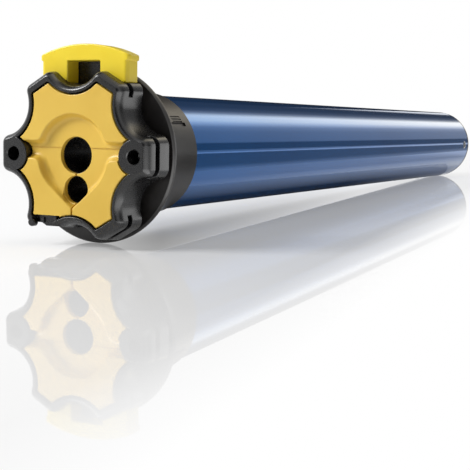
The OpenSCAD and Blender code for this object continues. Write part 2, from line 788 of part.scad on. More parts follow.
// Domed rivets that hold the tube to the end cap
module tube_rivets() color(bright_steel) {
    dome_r = (pow(rivet_head_r, 2) + pow(rivet_head_h, 2))/(2*rivet_head_h);
    around(rivet_count, first_pin) translate([rivet_x, 0, 0]) {
        translate([0, 0, tube_bore_r - rivet_shank])
            cylinder(h = tube_wall + rivet_shank, r = rivet_r);
        intersection() {
            translate([0, 0, tube_r + rivet_head_h - dome_r]) sphere(dome_r);
            translate([0, 0, tube_r]) cylinder(h = rivet_head_h, r = rivet_head_r);
        }
    }
}

// Flush pins that hold the tube to the head's plug, under the crown
module plug_pins() color(dark_steel)
    around(plug_pin_count, first_pin) translate([plug_pin_x, 0, plug_bore_r + face_gap])
        cylinder(h = tube_r - plug_bore_r - 2*face_gap, r = rivet_r);

// Frame of the limit unit: two plates joined by bars
module limit_frame() color(pale_plastic) {
    bar_y = wheel_tip_r + 2*part_gap;
    difference() {
        union() {
            x_rod(frame_start, frame_start + frame_t, frame_r);
            x_rod(frame_end - frame_t, frame_end, frame_r);
            x_extrude(frame_start, frame_end) intersection() {
                circle(frame_r);
                union() {
                    translate([-switch_w/2, -frame_r]) square([switch_w, frame_r + switch_base - fit_gap]);
                    for (side = [0, 1]) mirror([side, 0])
                        translate([bar_y, -frame_r/2]) square([frame_r, frame_r]);
                }
            }
        }
        x_rod(frame_start - sweep, frame_end + sweep, axle_r + fit_gap, 0, wheel_z);
        x_rod(frame_start - sweep, frame_end + sweep, pinion_shaft_r + run_gap, 0, pinion_z);
    }
}

// Axle that the four limit wheels turn on
module limit_axle() color(bright_steel) x_rod(frame_start, frame_end, axle_r, 0, wheel_z);

// Limit pinion: a gear in the crown's teeth and a long gear that drives the wheels
module limit_pinion() color(pale_plastic) translate([0, 0, pinion_z]) {
    x_rod(neck_end - pinion_seat + face_gap, frame_end, pinion_shaft_r);
    x_gear(pinion_start, pinion_end, pinion_teeth, coarse_module, 90);
    x_gear(up_pair_start - part_gap/2, frame_end - frame_t - part_gap/2, counter_teeth, fine_module, 270);
}

// One limit wheel: fine teeth beside a disc with one notch
module limit_wheel(start, teeth, teeth_first) color(pale_plastic) translate([0, 0, wheel_z]) {
    notch_w = 3;
    disc_start = teeth_first ? start + wheel_w : start;
    gear_start = teeth_first ? start : start + notch_disc_w;
    difference() {
        union() {
            x_gear(gear_start, gear_start + wheel_w, teeth, fine_module, 90 + 180/teeth);
            x_rod(disc_start, disc_start + notch_disc_w, notch_disc_r);
        }
        x_rod(start - sweep, start + pair_w, axle_r + run_gap);
        translate([disc_start - (teeth_first ? 0 : sweep), -notch_w/2, notch_disc_r - notch_w/2])
            cube([notch_disc_w + sweep, notch_w, notch_w]);
    }
}

module up_wheel_a() limit_wheel(up_pair_start, wheel_a_teeth, true);
module up_wheel_b() limit_wheel(up_pair_start + pair_w/2 + face_gap/2, wheel_b_teeth, false);
module down_wheel_a() limit_wheel(down_pair_start, wheel_a_teeth, true);
module down_wheel_b() limit_wheel(down_pair_start + pair_w/2 + face_gap/2, wheel_b_teeth, false);

// Microswitch with a feeler between the two wheels of a pair
module limit_switch(start) color(black_plastic) {
    feeler_w = 2*notch_disc_w - 2*face_gap;
    feeler_t = 2;
    translate([start, -switch_w/2, switch_base]) cube([pair_w, switch_w, switch_top - switch_base]);
    translate([start + (pair_w - feeler_w)/2, -feeler_t/2, switch_top - sweep])
        cube([feeler_w, feeler_t, wheel_z - notch_disc_r - face_gap - switch_top + sweep]);
}

module up_switch() limit_switch(up_pair_start);
module down_switch() limit_switch(down_pair_start);

// Run capacitor: a can with a rolled end and two tabs
module capacitor() color(aluminium) {
    roll = 1.2;
    tab = [2.5, 4, 0.8];
    tab_out = 1.5;
    rotate([0, 90, 0]) rotate_extrude() polygon([
        [0, capacitor_start], [capacitor_r - 3*roll, capacitor_start],
        [capacitor_r - 3*roll, capacitor_start + roll], [capacitor_r - roll, capacitor_start + roll],
        [capacitor_r - roll, capacitor_start], [capacitor_r, capacitor_start + roll],
        [capacitor_r, capacitor_start + capacitor_length - roll],
        [capacitor_r - roll, capacitor_start + capacitor_length],
        [0, capacitor_start + capacitor_length]]);
    for (side = [-1, 1]) translate([capacitor_start - tab_out, side*capacitor_r/2 - tab.y/2, -tab.z/2])
        cube(tab);
}

// Two rings that centre the capacitor in the tube
module capacitor_rings() color(pale_plastic)
    for (x = [capacitor_start + ring_w, capacitor_start + capacitor_length - 2*ring_w])
        x_ring(x, x + ring_w, seat_r, capacitor_r + fit_gap);

// Disc that carries one motor bearing, with openings for air and leads
module bell(start) color(aluminium)
    difference() {
        x_rod(start, start + bell_t, seat_r);
        x_rod(start - sweep, start + bell_t + sweep, bearing_r + fit_gap);
        around(bell_hole_count, 180/bell_hole_count)
            x_rod(start - sweep, start + bell_t + sweep, bell_hole_r, 0, (bearing_r + seat_r)/2);
    }

module rear_bell() bell(rear_bell_start);
module front_bell() bell(front_bell_start);

// Plain bearing bush
module bearing(start) color(brass) x_ring(start, start + bell_t, bearing_r, shaft_r + run_gap);

module rear_bearing() bearing(rear_bell_start);
module front_bearing() bearing(front_bell_start);

// Outline of one stator slot, narrower by a margin
module slot_shape(margin) {
    share_in = 0.55;
    share_out = 0.62;
    half_in = slot_in_r*tan(180/slot_count)*share_in - margin;
    half_out = slot_out_r*tan(180/slot_count)*share_out - margin;
    polygon([[slot_in_r + margin, -half_in], [slot_out_r - margin, -half_out],
             [slot_out_r - margin, half_out], [slot_in_r + margin, half_in]]);
    if (margin == 0) translate([stator_bore_r - sweep, -slot_mouth/2])
        square([2*sweep + slot_mouth, slot_mouth]);
}

// Stack of stator laminations with its slots
module stator_core() color(dark_steel)
    x_extrude(stator_start, stator_end) difference() {
        circle(seat_r);
        circle(stator_bore_r);
        for (i = [0:slot_count - 1]) rotate(i*360/slot_count) slot_shape(0);
    }

// Copper winding: bars in the slots and a ring of end turns at each end
module stator_winding() color(copper) {
    x_extrude(stator_start - winding_end, stator_end + winding_end)
        for (i = [0:slot_count - 1]) rotate(i*360/slot_count) slot_shape(slot_liner);
    for (x = [stator_start - winding_end, stator_end + face_gap])
        x_ring(x, x + winding_end - face_gap, slot_out_r + end_turn_skin, slot_in_r - end_turn_skin);
}

// Rotor laminations between their two cast end rings
module rotor_core() color(dark_steel) {
    end_ring = 6;
    difference() {
        union() {
            x_rod(stator_start, stator_end, rotor_r);
            x_rod(stator_start - end_ring, stator_end + end_ring, rotor_r - part_gap);
        }
        x_rod(stator_start - end_ring - sweep, stator_end + end_ring + sweep, shaft_r + fit_gap);
    }
}

// Rotor shaft with the brake spring's collar and a thin end for the sun gear
module rotor_shaft() color(bright_steel) {
    x_rod(rear_bell_start - part_gap, gearbox_start, shaft_r);
    x_rod(collar_start, collar_end, collar_r);
    x_rod(gearbox_start - sweep, stage_x[0] + stage_w[0], sun_bore_r);
}

// Sun gear of the first stage
module sun_gear() color(bright_steel)
    difference() {
        x_gear(stage_x[0] - part_gap, stage_x[0] + stage_w[0], sun_teeth, coarse_module);
        x_rod(stage_x[0] - part_gap - sweep, stage_x[0] + stage_w[0] + sweep, sun_bore_r + fit_gap);
    }

// Brake disc that slides on the rotor shaft
module brake_disc() color(dark_steel) {
    hub_r = collar_r + part_gap;
    difference() {
        union() {
            x_rod(disc_end - disc_t, disc_end, brake_r);
            x_rod(disc_end - disc_t - hub_t, disc_end, hub_r);
        }
        x_rod(disc_end - disc_t - hub_t - sweep, disc_end + sweep, shaft_r + run_gap);
    }
}

// Spring that presses the brake disc on the lining
module brake_spring() color(bright_steel) {
    translate([collar_end + run_gap, 0, 0]) rotate([0, 90, 0])
        coil_spring(brake_spring_r, brake_wire_r, spring_room - 2*run_gap, brake_turns);
}

// Friction lining and the plate behind it
module brake_lining() color(lining_brown)
    x_ring(plate_start - lining_t, plate_start, brake_r, brake_r - lining_w);

module brake_plate() color(aluminium) x_ring(plate_start, gearbox_start, seat_r, shaft_r + 2*part_gap);

// Gearbox barrel with the ring teeth that all three stages share
module gearbox_housing() color(dark_steel)
    difference() {
        x_rod(gearbox_start, end_cap_start, seat_r);
        x_tooth_ring_space(gearbox_start - sweep, end_cap_start + sweep, ring_teeth,
                           planet_teeth%2 == 0 ? 180/ring_teeth : 0);
    }

// One planet gear at its angle about the axis
module planet(stage, index) color(bright_steel) {
    a = index*360/planet_count;
    from = stage_x[stage];
    to = from + stage_w[stage];
    rotate([a, 0, 0]) translate([0, planet_orbit_r, 0]) difference() {
        x_gear(from, to, planet_teeth, coarse_module, 180 + 180/planet_teeth);
        x_rod(from - sweep, to + sweep, pin_r + run_gap);
    }
}

// Three pins that the planets of one stage turn on
module planet_pins(stage) color(bright_steel)
    around(planet_count) x_rod(stage_x[stage] - part_gap/2,
        stage_x[stage] + stage_w[stage] + part_gap + carrier_t[stage] - face_gap, pin_r, planet_orbit_r);

// Plate that carries three planet pins
module carrier_plate(stage) {
    from = stage_x[stage] + stage_w[stage] + part_gap;
    difference() {
        x_rod(from, from + carrier_t[stage], carrier_r);
        around(planet_count) x_rod(from - sweep, from + carrier_t[stage] - face_gap + fit_gap,
                                   pin_r + fit_gap, planet_orbit_r);
    }
}

// Carrier with the next stage's sun gear on its far side
module sun_carrier(stage) color(dark_steel) {
    to = stage_x[stage] + stage_w[stage] + part_gap + carrier_t[stage];
    carrier_plate(stage);
    x_gear(to - sweep, stage_x[stage + 1] + stage_w[stage + 1], sun_teeth, coarse_module);
}

module planet_1a() planet(0, 0);
module planet_1b() planet(0, 1);
module planet_1c() planet(0, 2);
module planet_pins_1() planet_pins(0);
module carrier_1() sun_carrier(0);
module planet_2a() planet(1, 0);
module planet_2b() planet(1, 1);
module planet_2c() planet(1, 2);
module planet_pins_2() planet_pins(1);
module carrier_2() sun_carrier(1);
module planet_3a() planet(2, 0);
module planet_3b() planet(2, 1);
module planet_3c() planet(2, 2);
module planet_pins_3() planet_pins(2);

// Last carrier in one piece with the output journal and the flatted output shaft
module output_carrier() color(bright_steel) {
    plate_end = end_cap_start - face_gap;
    carrier_plate(2);
    difference() {
        x_rod(plate_end - fit_gap, journal_end, journal_r);
        x_ring(lip_end + clip_gap, lip_end + clip_gap + clip_t, journal_r + sweep, journal_r - clip_groove);
    }
    difference() {
        x_rod(journal_end - sweep, lip_end + output_length, output_r);
        translate([journal_end, -output_r, output_flat]) cube([output_length, 2*output_r, output_r]);
    }
}

// Plain bush of the output journal
module output_bush() color(brass)
    x_ring(end_cap_start, lip_end, journal_r + bush_wall, journal_r + run_gap);

// End cap that closes the tube and holds the output bush
module end_cap() color(black_plastic)
    difference() {
        union() {
            x_rod(end_cap_start, lip_end, seat_r);
            x_rod(tube_end, lip_end, tube_r);
        }
        x_rod(end_cap_start - sweep, lip_end + sweep, journal_r + bush_wall + fit_gap);
        around(rivet_count, first_pin) x_pin_hole(rivet_x);
    }

// Open retaining ring in the journal's groove
module retaining_ring() color(dark_steel) {
    from = lip_end + clip_gap + run_gap;
    to = lip_end + clip_gap + clip_t - run_gap;
    inner = journal_r - clip_groove + run_gap;
    mouth = 5;
    difference() {
        x_ring(from, to, journal_r + clip_out, inner);
        translate([from - sweep, -mouth/2, 0]) cube([clip_t + 2*sweep, mouth, 2*journal_r]);
    }
}

head_housing();
face_cover();
cable_socket();
socket_contacts();
limit_cap();
up_button();
down_button();
up_button_spring();
down_button_spring();
crown();
motor_tube();
tube_rivets();
plug_pins();
limit_frame();
limit_axle();
limit_pinion();
up_wheel_a();
up_wheel_b();
down_wheel_a();
down_wheel_b();
up_switch();
down_switch();
capacitor();
capacitor_rings();
rear_bell();
rear_bearing();
stator_core();
stator_winding();
front_bell();
front_bearing();
rotor_core();
rotor_shaft();
brake_disc();
brake_spring();
brake_lining();
brake_plate();
sun_gear();
gearbox_housing();
planet_1a();
planet_1b();
planet_1c();
planet_pins_1();
carrier_1();
planet_2a();
planet_2b();
planet_2c();
planet_pins_2();
carrier_2();
planet_3a();
planet_3b();
planet_3c();
planet_pins_3();
output_carrier();
output_bush();
end_cap();
retaining_ring();
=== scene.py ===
# %% [markdown]
# # A tubular roller blind motor
# A black star-shaped head with a golden face and a lemon cap, a dark turning crown and a long blue tube. The
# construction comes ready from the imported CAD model, in metres, with +X along the tube and +Z up. This lesson
# loads that model, makes finer skins for the pieces that the eye rests on, gives every piece a material, and
# sets up the floor, the lights and the camera.

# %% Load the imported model
import json
import math

import bmesh
import bpy
from mathutils import Matrix, Vector

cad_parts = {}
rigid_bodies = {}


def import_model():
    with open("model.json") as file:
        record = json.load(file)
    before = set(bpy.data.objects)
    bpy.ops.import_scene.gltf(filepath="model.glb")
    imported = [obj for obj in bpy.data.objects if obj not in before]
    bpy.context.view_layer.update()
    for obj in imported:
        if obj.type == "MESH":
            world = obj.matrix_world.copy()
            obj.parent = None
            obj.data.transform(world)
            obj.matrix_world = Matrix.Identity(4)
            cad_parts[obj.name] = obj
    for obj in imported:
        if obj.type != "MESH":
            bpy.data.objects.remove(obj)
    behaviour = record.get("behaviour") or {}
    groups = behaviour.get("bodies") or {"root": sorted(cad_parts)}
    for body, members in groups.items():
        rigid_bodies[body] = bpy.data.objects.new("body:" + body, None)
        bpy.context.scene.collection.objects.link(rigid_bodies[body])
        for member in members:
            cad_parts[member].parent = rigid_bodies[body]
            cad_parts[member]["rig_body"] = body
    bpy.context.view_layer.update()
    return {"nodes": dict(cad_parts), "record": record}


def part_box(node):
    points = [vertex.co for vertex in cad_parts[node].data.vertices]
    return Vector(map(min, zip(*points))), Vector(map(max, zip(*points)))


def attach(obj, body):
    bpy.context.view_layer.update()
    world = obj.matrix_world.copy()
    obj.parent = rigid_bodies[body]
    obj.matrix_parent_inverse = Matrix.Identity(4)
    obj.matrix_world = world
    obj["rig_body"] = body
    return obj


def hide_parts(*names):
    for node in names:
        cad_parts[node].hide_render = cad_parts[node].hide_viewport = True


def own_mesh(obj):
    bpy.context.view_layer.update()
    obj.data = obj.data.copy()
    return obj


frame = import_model()
MM = 0.001

# %% [markdown]
# ## The camera
# A product photograph is taken with a fairly long lens, so the tube's far end isn't tiny. The camera stands in
# front of the head, to the right of the axis and just above it, and looks along the tube. `to_track_quat` turns
# a direction into a rotation, and a small roll about the line of sight is added to it, because the
# photographer's horizon leans a little. A Track To constraint could aim it too, but a matrix also holds the
# roll.

# %% Camera
camera_place = Vector((-319.35, -223.01, 12.2)) * MM
camera_aim = Vector((126.24, -1.89, -38.36)) * MM
camera_roll = math.radians(1.02)
camera_data = bpy.data.cameras.new("camera")
camera_data.lens = 84.22
camera_data.sensor_width = 36
camera = bpy.data.objects.new("camera", camera_data)
line_of_sight = (camera_aim - camera_place).to_track_quat("-Z", "Y").to_matrix()
camera.matrix_world = Matrix.Translation(camera_place) @ (
    line_of_sight @ Matrix.Rotation(camera_roll, 3, "Z")).to_4x4()
bpy.context.scene.collection.objects.link(camera)
bpy.context.scene.camera = camera
print("Camera looks along", [round(v, 3) for v in line_of_sight.col[2]])

# %% [markdown]
# ## Helpers for meshes
# Most moulded pieces here are an outline that is drawn along one direction, with soft edges. A skin through
# rings of points makes that: each ring has the same count of points, so ring after ring is joined by four-sided
# faces, and the first and last ring are closed. Edges get round by a few rings that move outwards while they
# move along. Holes and steps are then cut with the exact Boolean solver, whose result is kept as a plain mesh.
# The edges could be left to a Bevel modifier, but it fails where a corner is tighter than the bevel, as on the
# star.

# %% Mesh helpers
weld = 0.002 * MM  # points closer than this are one
sliver = 0.001 * MM  # faces thinner than this go


def new_piece(name, bm):
    """An object made from a bmesh, with its faces turned outwards."""
    bmesh.ops.recalc_face_normals(bm, faces=bm.faces)
    mesh = bpy.data.meshes.new(name)
    bm.to_mesh(mesh)
    bm.free()
    piece = bpy.data.objects.new(name, mesh)
    bpy.context.scene.collection.objects.link(piece)
    return piece


def skin(name, rings):
    """A closed skin through rings of points in millimetres."""
    bm = bmesh.new()
    rows = [[bm.verts.new(Vector(p) * MM) for p in ring] for ring in rings]
    count = len(rows[0])
    for low, high in zip(rows, rows[1:]):
        for i in range(count):
            j = (i + 1) % count
            bm.faces.new((low[i], low[j], high[j], high[i]))
    bm.faces.new(rows[0])
    bm.faces.new(rows[-1])
    return new_piece(name, bm)


def arc(centre, radius, start, end, steps):
    """Points (y, z) of an arc, angles in radians."""
    turns = [start + (end - start) * i / steps for i in range(steps + 1)]
    return [(centre[0] + radius * math.cos(a), centre[1] + radius * math.sin(a)) for a in turns]


def ring(x, outline):
    """An outline in Y and Z, set at one place along X."""
    return [(x, y, z) for y, z in outline]


def turned(name, profile, y=0.0, z=0.0, steps=96):
    """A skin turned about a line along X through y, z from a profile of (x, radius)."""
    last = math.tau * (steps - 1) / steps
    return skin(name, [ring(x, arc((y, z), radius, 0, last, steps - 1)) for x, radius in profile])


def block(name, low, high):
    """A plain box between two corners in millimetres, used to cut with."""
    outline = [(low[1], low[2]), (high[1], low[2]), (high[1], high[2]), (low[1], high[2])]
    return skin(name, [ring(low[0], outline), ring(high[0], outline)])


def combine(piece, tool, operation):
    """Cuts, joins or meets a piece with a tool, and deletes the tool."""
    boolean = piece.modifiers.new(operation, "BOOLEAN")
    boolean.operation = operation
    boolean.object = tool
    boolean.solver = "EXACT"
    depsgraph = bpy.context.evaluated_depsgraph_get()
    mesh = bpy.data.meshes.new_from_object(piece.evaluated_get(depsgraph))
    piece.modifiers.remove(boolean)
    piece.data = mesh
    bpy.data.objects.remove(tool)


def smooth(piece, degrees=32):
    """Smooth shading that keeps edges sharp above an angle and flat faces flat."""
    bm = bmesh.new()
    bm.from_mesh(piece.data)
    bmesh.ops.remove_doubles(bm, verts=bm.verts, dist=weld)
    bmesh.ops.dissolve_degenerate(bm, edges=bm.edges, dist=sliver)
    bm.to_mesh(piece.data)
    bm.free()
    piece.data.shade_smooth()
    piece.data.set_sharp_from_angle(angle=math.radians(degrees))
    weighted = piece.modifiers.new("flat faces stay flat", "WEIGHTED_NORMAL")
    weighted.keep_sharp = True


def dress(piece, node, shade=smooth):
    """Shades a finished piece and puts it in the place of a CAD node."""
    shade(piece)
    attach(piece, frame["nodes"][node]["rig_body"])
    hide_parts(node)
    print(f"{piece.name}: {len(piece.data.polygons)} faces, stands for {node}")


# %% [markdown]
# ## The star
# The head's outline has six lobes with flat ends, small round corners and wide round hollows between them, all
# tangent to each other. It is worked out from five sizes. Spreading it moves every point along its own normal,
# so that spread rings give even, round edges all the way round. A curve object could hold one such outline, but
# every ring here needs its own.

# %% Outline of the star
lobes = 6
lobe_reach = 31.0
lobe_corner = 3.0
hollow_distance = 35.8
hollow_radius = 11.4
corner_steps, hollow_steps = 6, 18


def star(reach=lobe_reach, corner=lobe_corner, hollow=hollow_radius, spread=0.0):
    """Points (y, z) of the star, with every point moved out by spread."""
    pitch = math.tau / lobes
    hollow_centre = (hollow_distance * math.cos(pitch / 2), hollow_distance * math.sin(pitch / 2))
    along = reach - corner
    side = hollow_centre[1] - math.sqrt((hollow + corner) ** 2 - (along - hollow_centre[0]) ** 2)
    b = math.atan2(hollow_centre[1] - side, hollow_centre[0] - along)
    lobe = arc((along, -side), corner + spread, -b, 0, corner_steps)
    lobe += arc((along, side), corner + spread, 0, b, corner_steps)
    lobe += arc(hollow_centre, hollow - spread, math.pi + b, math.pi + pitch - b, hollow_steps)[1:-1]
    turns = [i * pitch for i in range(lobes)]
    return [(y * math.cos(a) - z * math.sin(a), y * math.sin(a) + z * math.cos(a))
            for a in turns for y, z in lobe]


def held_within(outline, radius):
    """The outline with points beyond a radius drawn in to it."""
    shares = [min(1, radius / math.hypot(y, z)) for y, z in outline]
    return [(y * share, z * share) for (y, z), share in zip(outline, shares)]


def round_as(outline, radius):
    """A circle with the outline's count of points."""
    return [(y * radius / math.hypot(y, z), z * radius / math.hypot(y, z)) for y, z in outline]


print("The star has", len(star()), "points")

# %% [markdown]
# ## The black head
# It is moulded in glass-filled nylon. Behind a flat rim the front edge is broad and round, and the wall then
# spreads a little towards the back. A ring groove cuts only the lobes. One skin from front to back gives all of
# that, with the neck and the plug inside the tube behind it. The face's pocket, the screw bosses, the holes,
# the cap's ledge and the cable corner are cut afterwards. Stacked slices could give the same shape, but a skin
# has no seams that would show in its shading.

# %% Body of the head
groove_start = 5.2
groove_end = 7.5
head_end = 13.2
groove_radius = 28.8
neck_radius = 17.95
plug_radius = 21.4
plug_bore = 19.45
tube_start = 22.5
plug_end = 59.9
plug_floor = 24.5
wall_start = 3.2
wall_start_spread = 0.04
wall_spread = 0.098
# Distances from the front and how far the star has spread there, from the flat rim to the side wall
front_edge = ((0, -1.95), (0.04, -1.75), (0.16, -1.5), (0.45, -1.1), (0.85, -0.72), (1.35, -0.42),
              (1.95, -0.18), (2.6, -0.04), (wall_start, wall_start_spread))
# Distances from an edge and how far the wall is drawn in there
groove_edge = ((0.2, 0), (0.06, 0.06), (0, 0.2))
back_edge = ((0.35, 0), (0.1, 0.1), (0, 0.35))


def wall(x):
    """How far the star has spread at a place on the head's side wall."""
    return wall_start_spread + wall_spread * (x - wall_start)


def lobes_lowered(x, drop):
    """The star on the side wall, drawn in by drop only where its lobes reach past the groove's floor."""
    plain, lowered = star(spread=wall(x)), star(spread=wall(x) - drop)
    return [low if math.hypot(*high) > groove_radius + drop else high for high, low in zip(plain, lowered)]


head_rings = [ring(x, star(spread=spread)) for x, spread in front_edge]
for gap, drop in groove_edge:
    head_rings.append(ring(groove_start - gap, lobes_lowered(groove_start - gap, drop)))
for x in (groove_start, groove_end):
    head_rings.append(ring(x, held_within(star(spread=wall(x)), groove_radius)))
for gap, drop in reversed(groove_edge):
    head_rings.append(ring(groove_end + gap, lobes_lowered(groove_end + gap, drop)))
for gap, drop in back_edge:
    head_rings.append(ring(head_end - gap, star(spread=wall(head_end - gap) - drop)))
for x, radius in ((head_end, neck_radius), (tube_start, neck_radius), (tube_start, plug_radius),
                  (plug_end, plug_radius), (plug_end, plug_bore), (plug_floor, plug_bore)):
    head_rings.append(ring(x, round_as(star(), radius)))
head = skin("head", head_rings)
print("Head before its cuts:", len(head.data.polygons), "faces")

# %% [markdown]
# The cover lies in a pocket that follows the star inside the rim. On the real head the two screw bosses stay
# standing in it, so they are taken out of the cutter before it cuts. The screw holes end in a cone, as a drill
# or a core pin leaves them. All mouths are a little wider than their holes, which gives them a soft edge.
# Bosses that were joined on later would share faces with the pocket's floor, and Booleans handle that badly.

# %% Pocket, bosses and holes of the head
outside = -1  # cutters start in front of the head
pocket_reach = 27.4
pocket_corner = 1.0
pocket_hollow = 14.15
pocket_floor = 4.9
screw_y = 25.3
boss_radius = 6.0
screw_hole_radius = 2.5
screw_hole_mouth = 0.35
screw_hole_depth = 7.6
pivot_radius = 6.5
locating_radius = 4.9
locating_z = -12.15
bore_step = 0.2
bore_start = 2
bore_end = 13.8

pocket = skin("pocket", [
    ring(x, star(reach=pocket_reach, corner=pocket_corner, hollow=pocket_hollow, spread=spread))
    for x, spread in ((outside, 0.25), (0, 0.25), (0.1, 0.08), (0.3, 0), (pocket_floor, 0))])
for side in (-1, 1):
    boss = [(2 * outside, boss_radius - 0.3), (0, boss_radius - 0.3), (0.1, boss_radius - 0.1),
            (0.3, boss_radius), (pocket_floor + 1, boss_radius)]
    combine(pocket, turned("boss", boss, y=side * screw_y), "DIFFERENCE")
combine(head, pocket, "DIFFERENCE")
for side in (-1, 1):
    mouth = screw_hole_radius + screw_hole_mouth
    hole = [(outside, mouth), (0, mouth), (screw_hole_mouth, screw_hole_radius),
            (screw_hole_depth, screw_hole_radius), (screw_hole_depth + 1, 0.1)]
    combine(head, turned("screw hole", hole, y=side * screw_y, steps=48), "DIFFERENCE")
for name, radius, z in (("pivot hole", pivot_radius, 0), ("locating hole", locating_radius, locating_z)):
    bore = [(bore_start, radius - bore_step), (bore_end, radius - bore_step)]
    combine(head, turned(name, bore, z=z), "DIFFERENCE")
print("Head with its pocket and holes:", len(head.data.polygons), "faces")

# %% [markdown]
# The limit cap stands on a ledge that is cut into the two upper lobes, with the holes of the two setting
# buttons in it. The lower left lobe is cut level for the cable: behind that cut sits the socket, in a pocket
# that is open to the front and below, with a small hook beside it. Plain blocks make these cuts, because their
# edges hardly show.

# %% Ledge, button holes and cable corner of the head
far = 45  # past the head on every side
past_back = head_end + 0.2
ledge_z = 25.3
button_x = 11.0
button_y = 12.5
button_hole = 1.8
well_steps = 24
button_floor = 16
cable_cut_y = 5.2
cable_cut_z = -24.4
cable_cut_end = 9.8
rear_cut_z = cable_cut_z - 2
socket_low_y = 8.05
socket_high_y = 16.75
socket_top = -15.55
socket_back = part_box("cable_socket")[1].x / MM + 0.05
claw_y = 17.3

combine(head, block("ledge", (groove_start, -far, ledge_z), (past_back, far, far)), "DIFFERENCE")
for side in (-1, 1):
    column = [(button_x + button_hole * math.cos(a), side * button_y + button_hole * math.sin(a))
              for a in [math.tau * i / well_steps for i in range(well_steps)]]
    well = skin("well", [[(x, y, z) for x, y in column] for z in (button_floor, far)])
    combine(head, well, "DIFFERENCE")
combine(head, block("cable cut", (outside, cable_cut_y, -far), (cable_cut_end, far, cable_cut_z)), "DIFFERENCE")
combine(head, block("rear cut", (outside, 0, -far), (past_back, far, rear_cut_z)), "DIFFERENCE")
socket_pocket = block("socket pocket", (outside, socket_low_y, -far), (socket_back, socket_high_y, socket_top))
combine(head, socket_pocket, "DIFFERENCE")
claw = [(0, 1.0), (0.08, 1.25), (0.35, 1.45), (0.7, 1.5), (2.2, 1.5)]
combine(head, turned("claw", claw, y=claw_y, z=cable_cut_z, steps=32), "UNION")
print("Head with its ledge and cable corner:", len(head.data.polygons), "faces")

# %% [markdown]
# Two things are left behind the star. The limit unit's pinion sits in the neck, where it reaches the crown's
# teeth, so it needs a round room and a way for its axle. And a thin web closes the view through the cap's
# finger notch.

# %% Pinion room and web of the head
pinion_z = 14.7
pinion_room = [(16.5, 5.2), (22.2, 5.2)]
pinion_way = [(13.9, 3.55), (tube_start + 3, 3.55)]
web_half = 7.3
web_foot = 10
web_back = 15.9

combine(head, turned("pinion room", pinion_room, z=pinion_z, steps=48), "DIFFERENCE")
combine(head, turned("pinion way", pinion_way, z=pinion_z, steps=48), "DIFFERENCE")
for web_front, web_top in ((head_end - 1, ledge_z), (14.8, 33.7)):
    combine(head, block("web", (web_front, -web_half, web_foot), (web_back, web_half, web_top)), "UNION")
dress(head, "head_housing")

# %% [markdown]
# ## The golden face
# The cover is a thin moulding that follows the star inside the rim. A bracket recess is sunk into it: a round
# with two arms, drawn down to a point below. Its walls lean and are well rounded, which shows as a soft brown
# band on one side and a bright line on the other. The recess is an outline of lines and arcs that are all
# tangent, so it can be spread like the star, and the cutter is a skin whose rings shrink as they go down. A
# bevel after a plain cut would be round as well, but its wall would stand straight.

# %% Outline of the recess
recess_radius = 14.5
recess_point = 18.9
arm_top = 4.9
arm_bottom = 1.4
arm_corner = 2.6
arm_out = 40.0
bend_steps, upper_steps, lower_steps = 8, 40, 14


def recess(spread):
    """Points (y, z) of the bracket recess, moved into the material by spread."""
    reach = recess_radius + spread
    top, bottom, corner = arm_top + spread, arm_bottom + spread, arm_corner - spread
    top_y = math.sqrt((reach + corner) ** 2 - (top + corner) ** 2)
    bottom_y = math.sqrt((reach + corner) ** 2 - (bottom + corner) ** 2)
    top_turn = math.atan2(top + corner, top_y)
    bottom_turn = math.atan2(bottom + corner, bottom_y)
    tangent = math.acos(recess_radius / recess_point)
    tip = recess_point * reach / recess_radius
    right = [(arm_out, top)]
    right += arc((top_y, top + corner), corner, -math.pi / 2, -math.pi + top_turn, bend_steps)
    over = arc((0, 0), reach, top_turn, math.pi - top_turn, upper_steps)[1:-1]
    left = [(-y, z) for y, z in reversed(right)]
    low_left = [(-arm_out, -bottom)]
    low_left += arc((-bottom_y, -bottom - corner), corner, math.pi / 2, bottom_turn, bend_steps)
    low_left += arc((0, 0), reach, math.pi + bottom_turn, 1.5 * math.pi - tangent, lower_steps)[1:]
    low_right = [(-y, z) for y, z in reversed(low_left)]
    return right + over + left + low_left + [(0, -tip)] + low_right


print("The recess has", len(recess(0)), "points")

# %% [markdown]
# The cover's edge is rounded by its first rings, and the recess by the many rings of its wall. The two holes
# get a small round at the recess's floor. A fine parting line runs across the floor, as the two halves of the
# mould leave it, and a slit runs down from the lower hole.

# %% Golden face cover
face_x = 0.25
cover_reach = 26.8
cover_corner = 0.4
cover_hollow = 14.75
cover_back = 4.85
recess_depth = 2.8
# Depths below the face and how far the recess is spread there
recess_wall = ((outside, 0.5), (0, 0.5), (0.05, 0.3), (0.16, 0.12), (0.33, -0.02), (0.6, -0.16), (1.2, -0.42),
               (1.8, -0.7), (2.2, -0.98), (2.5, -1.32), (2.68, -1.72), (2.77, -2.15), (recess_depth, -2.6))
boss_gap = 0.6
slit_half = 0.4
slit_top = -6
line_low, line_high, line_depth = 2.35, 2.7, 0.3
cable_edge_z = -21.5
socket_room_start = 2.2

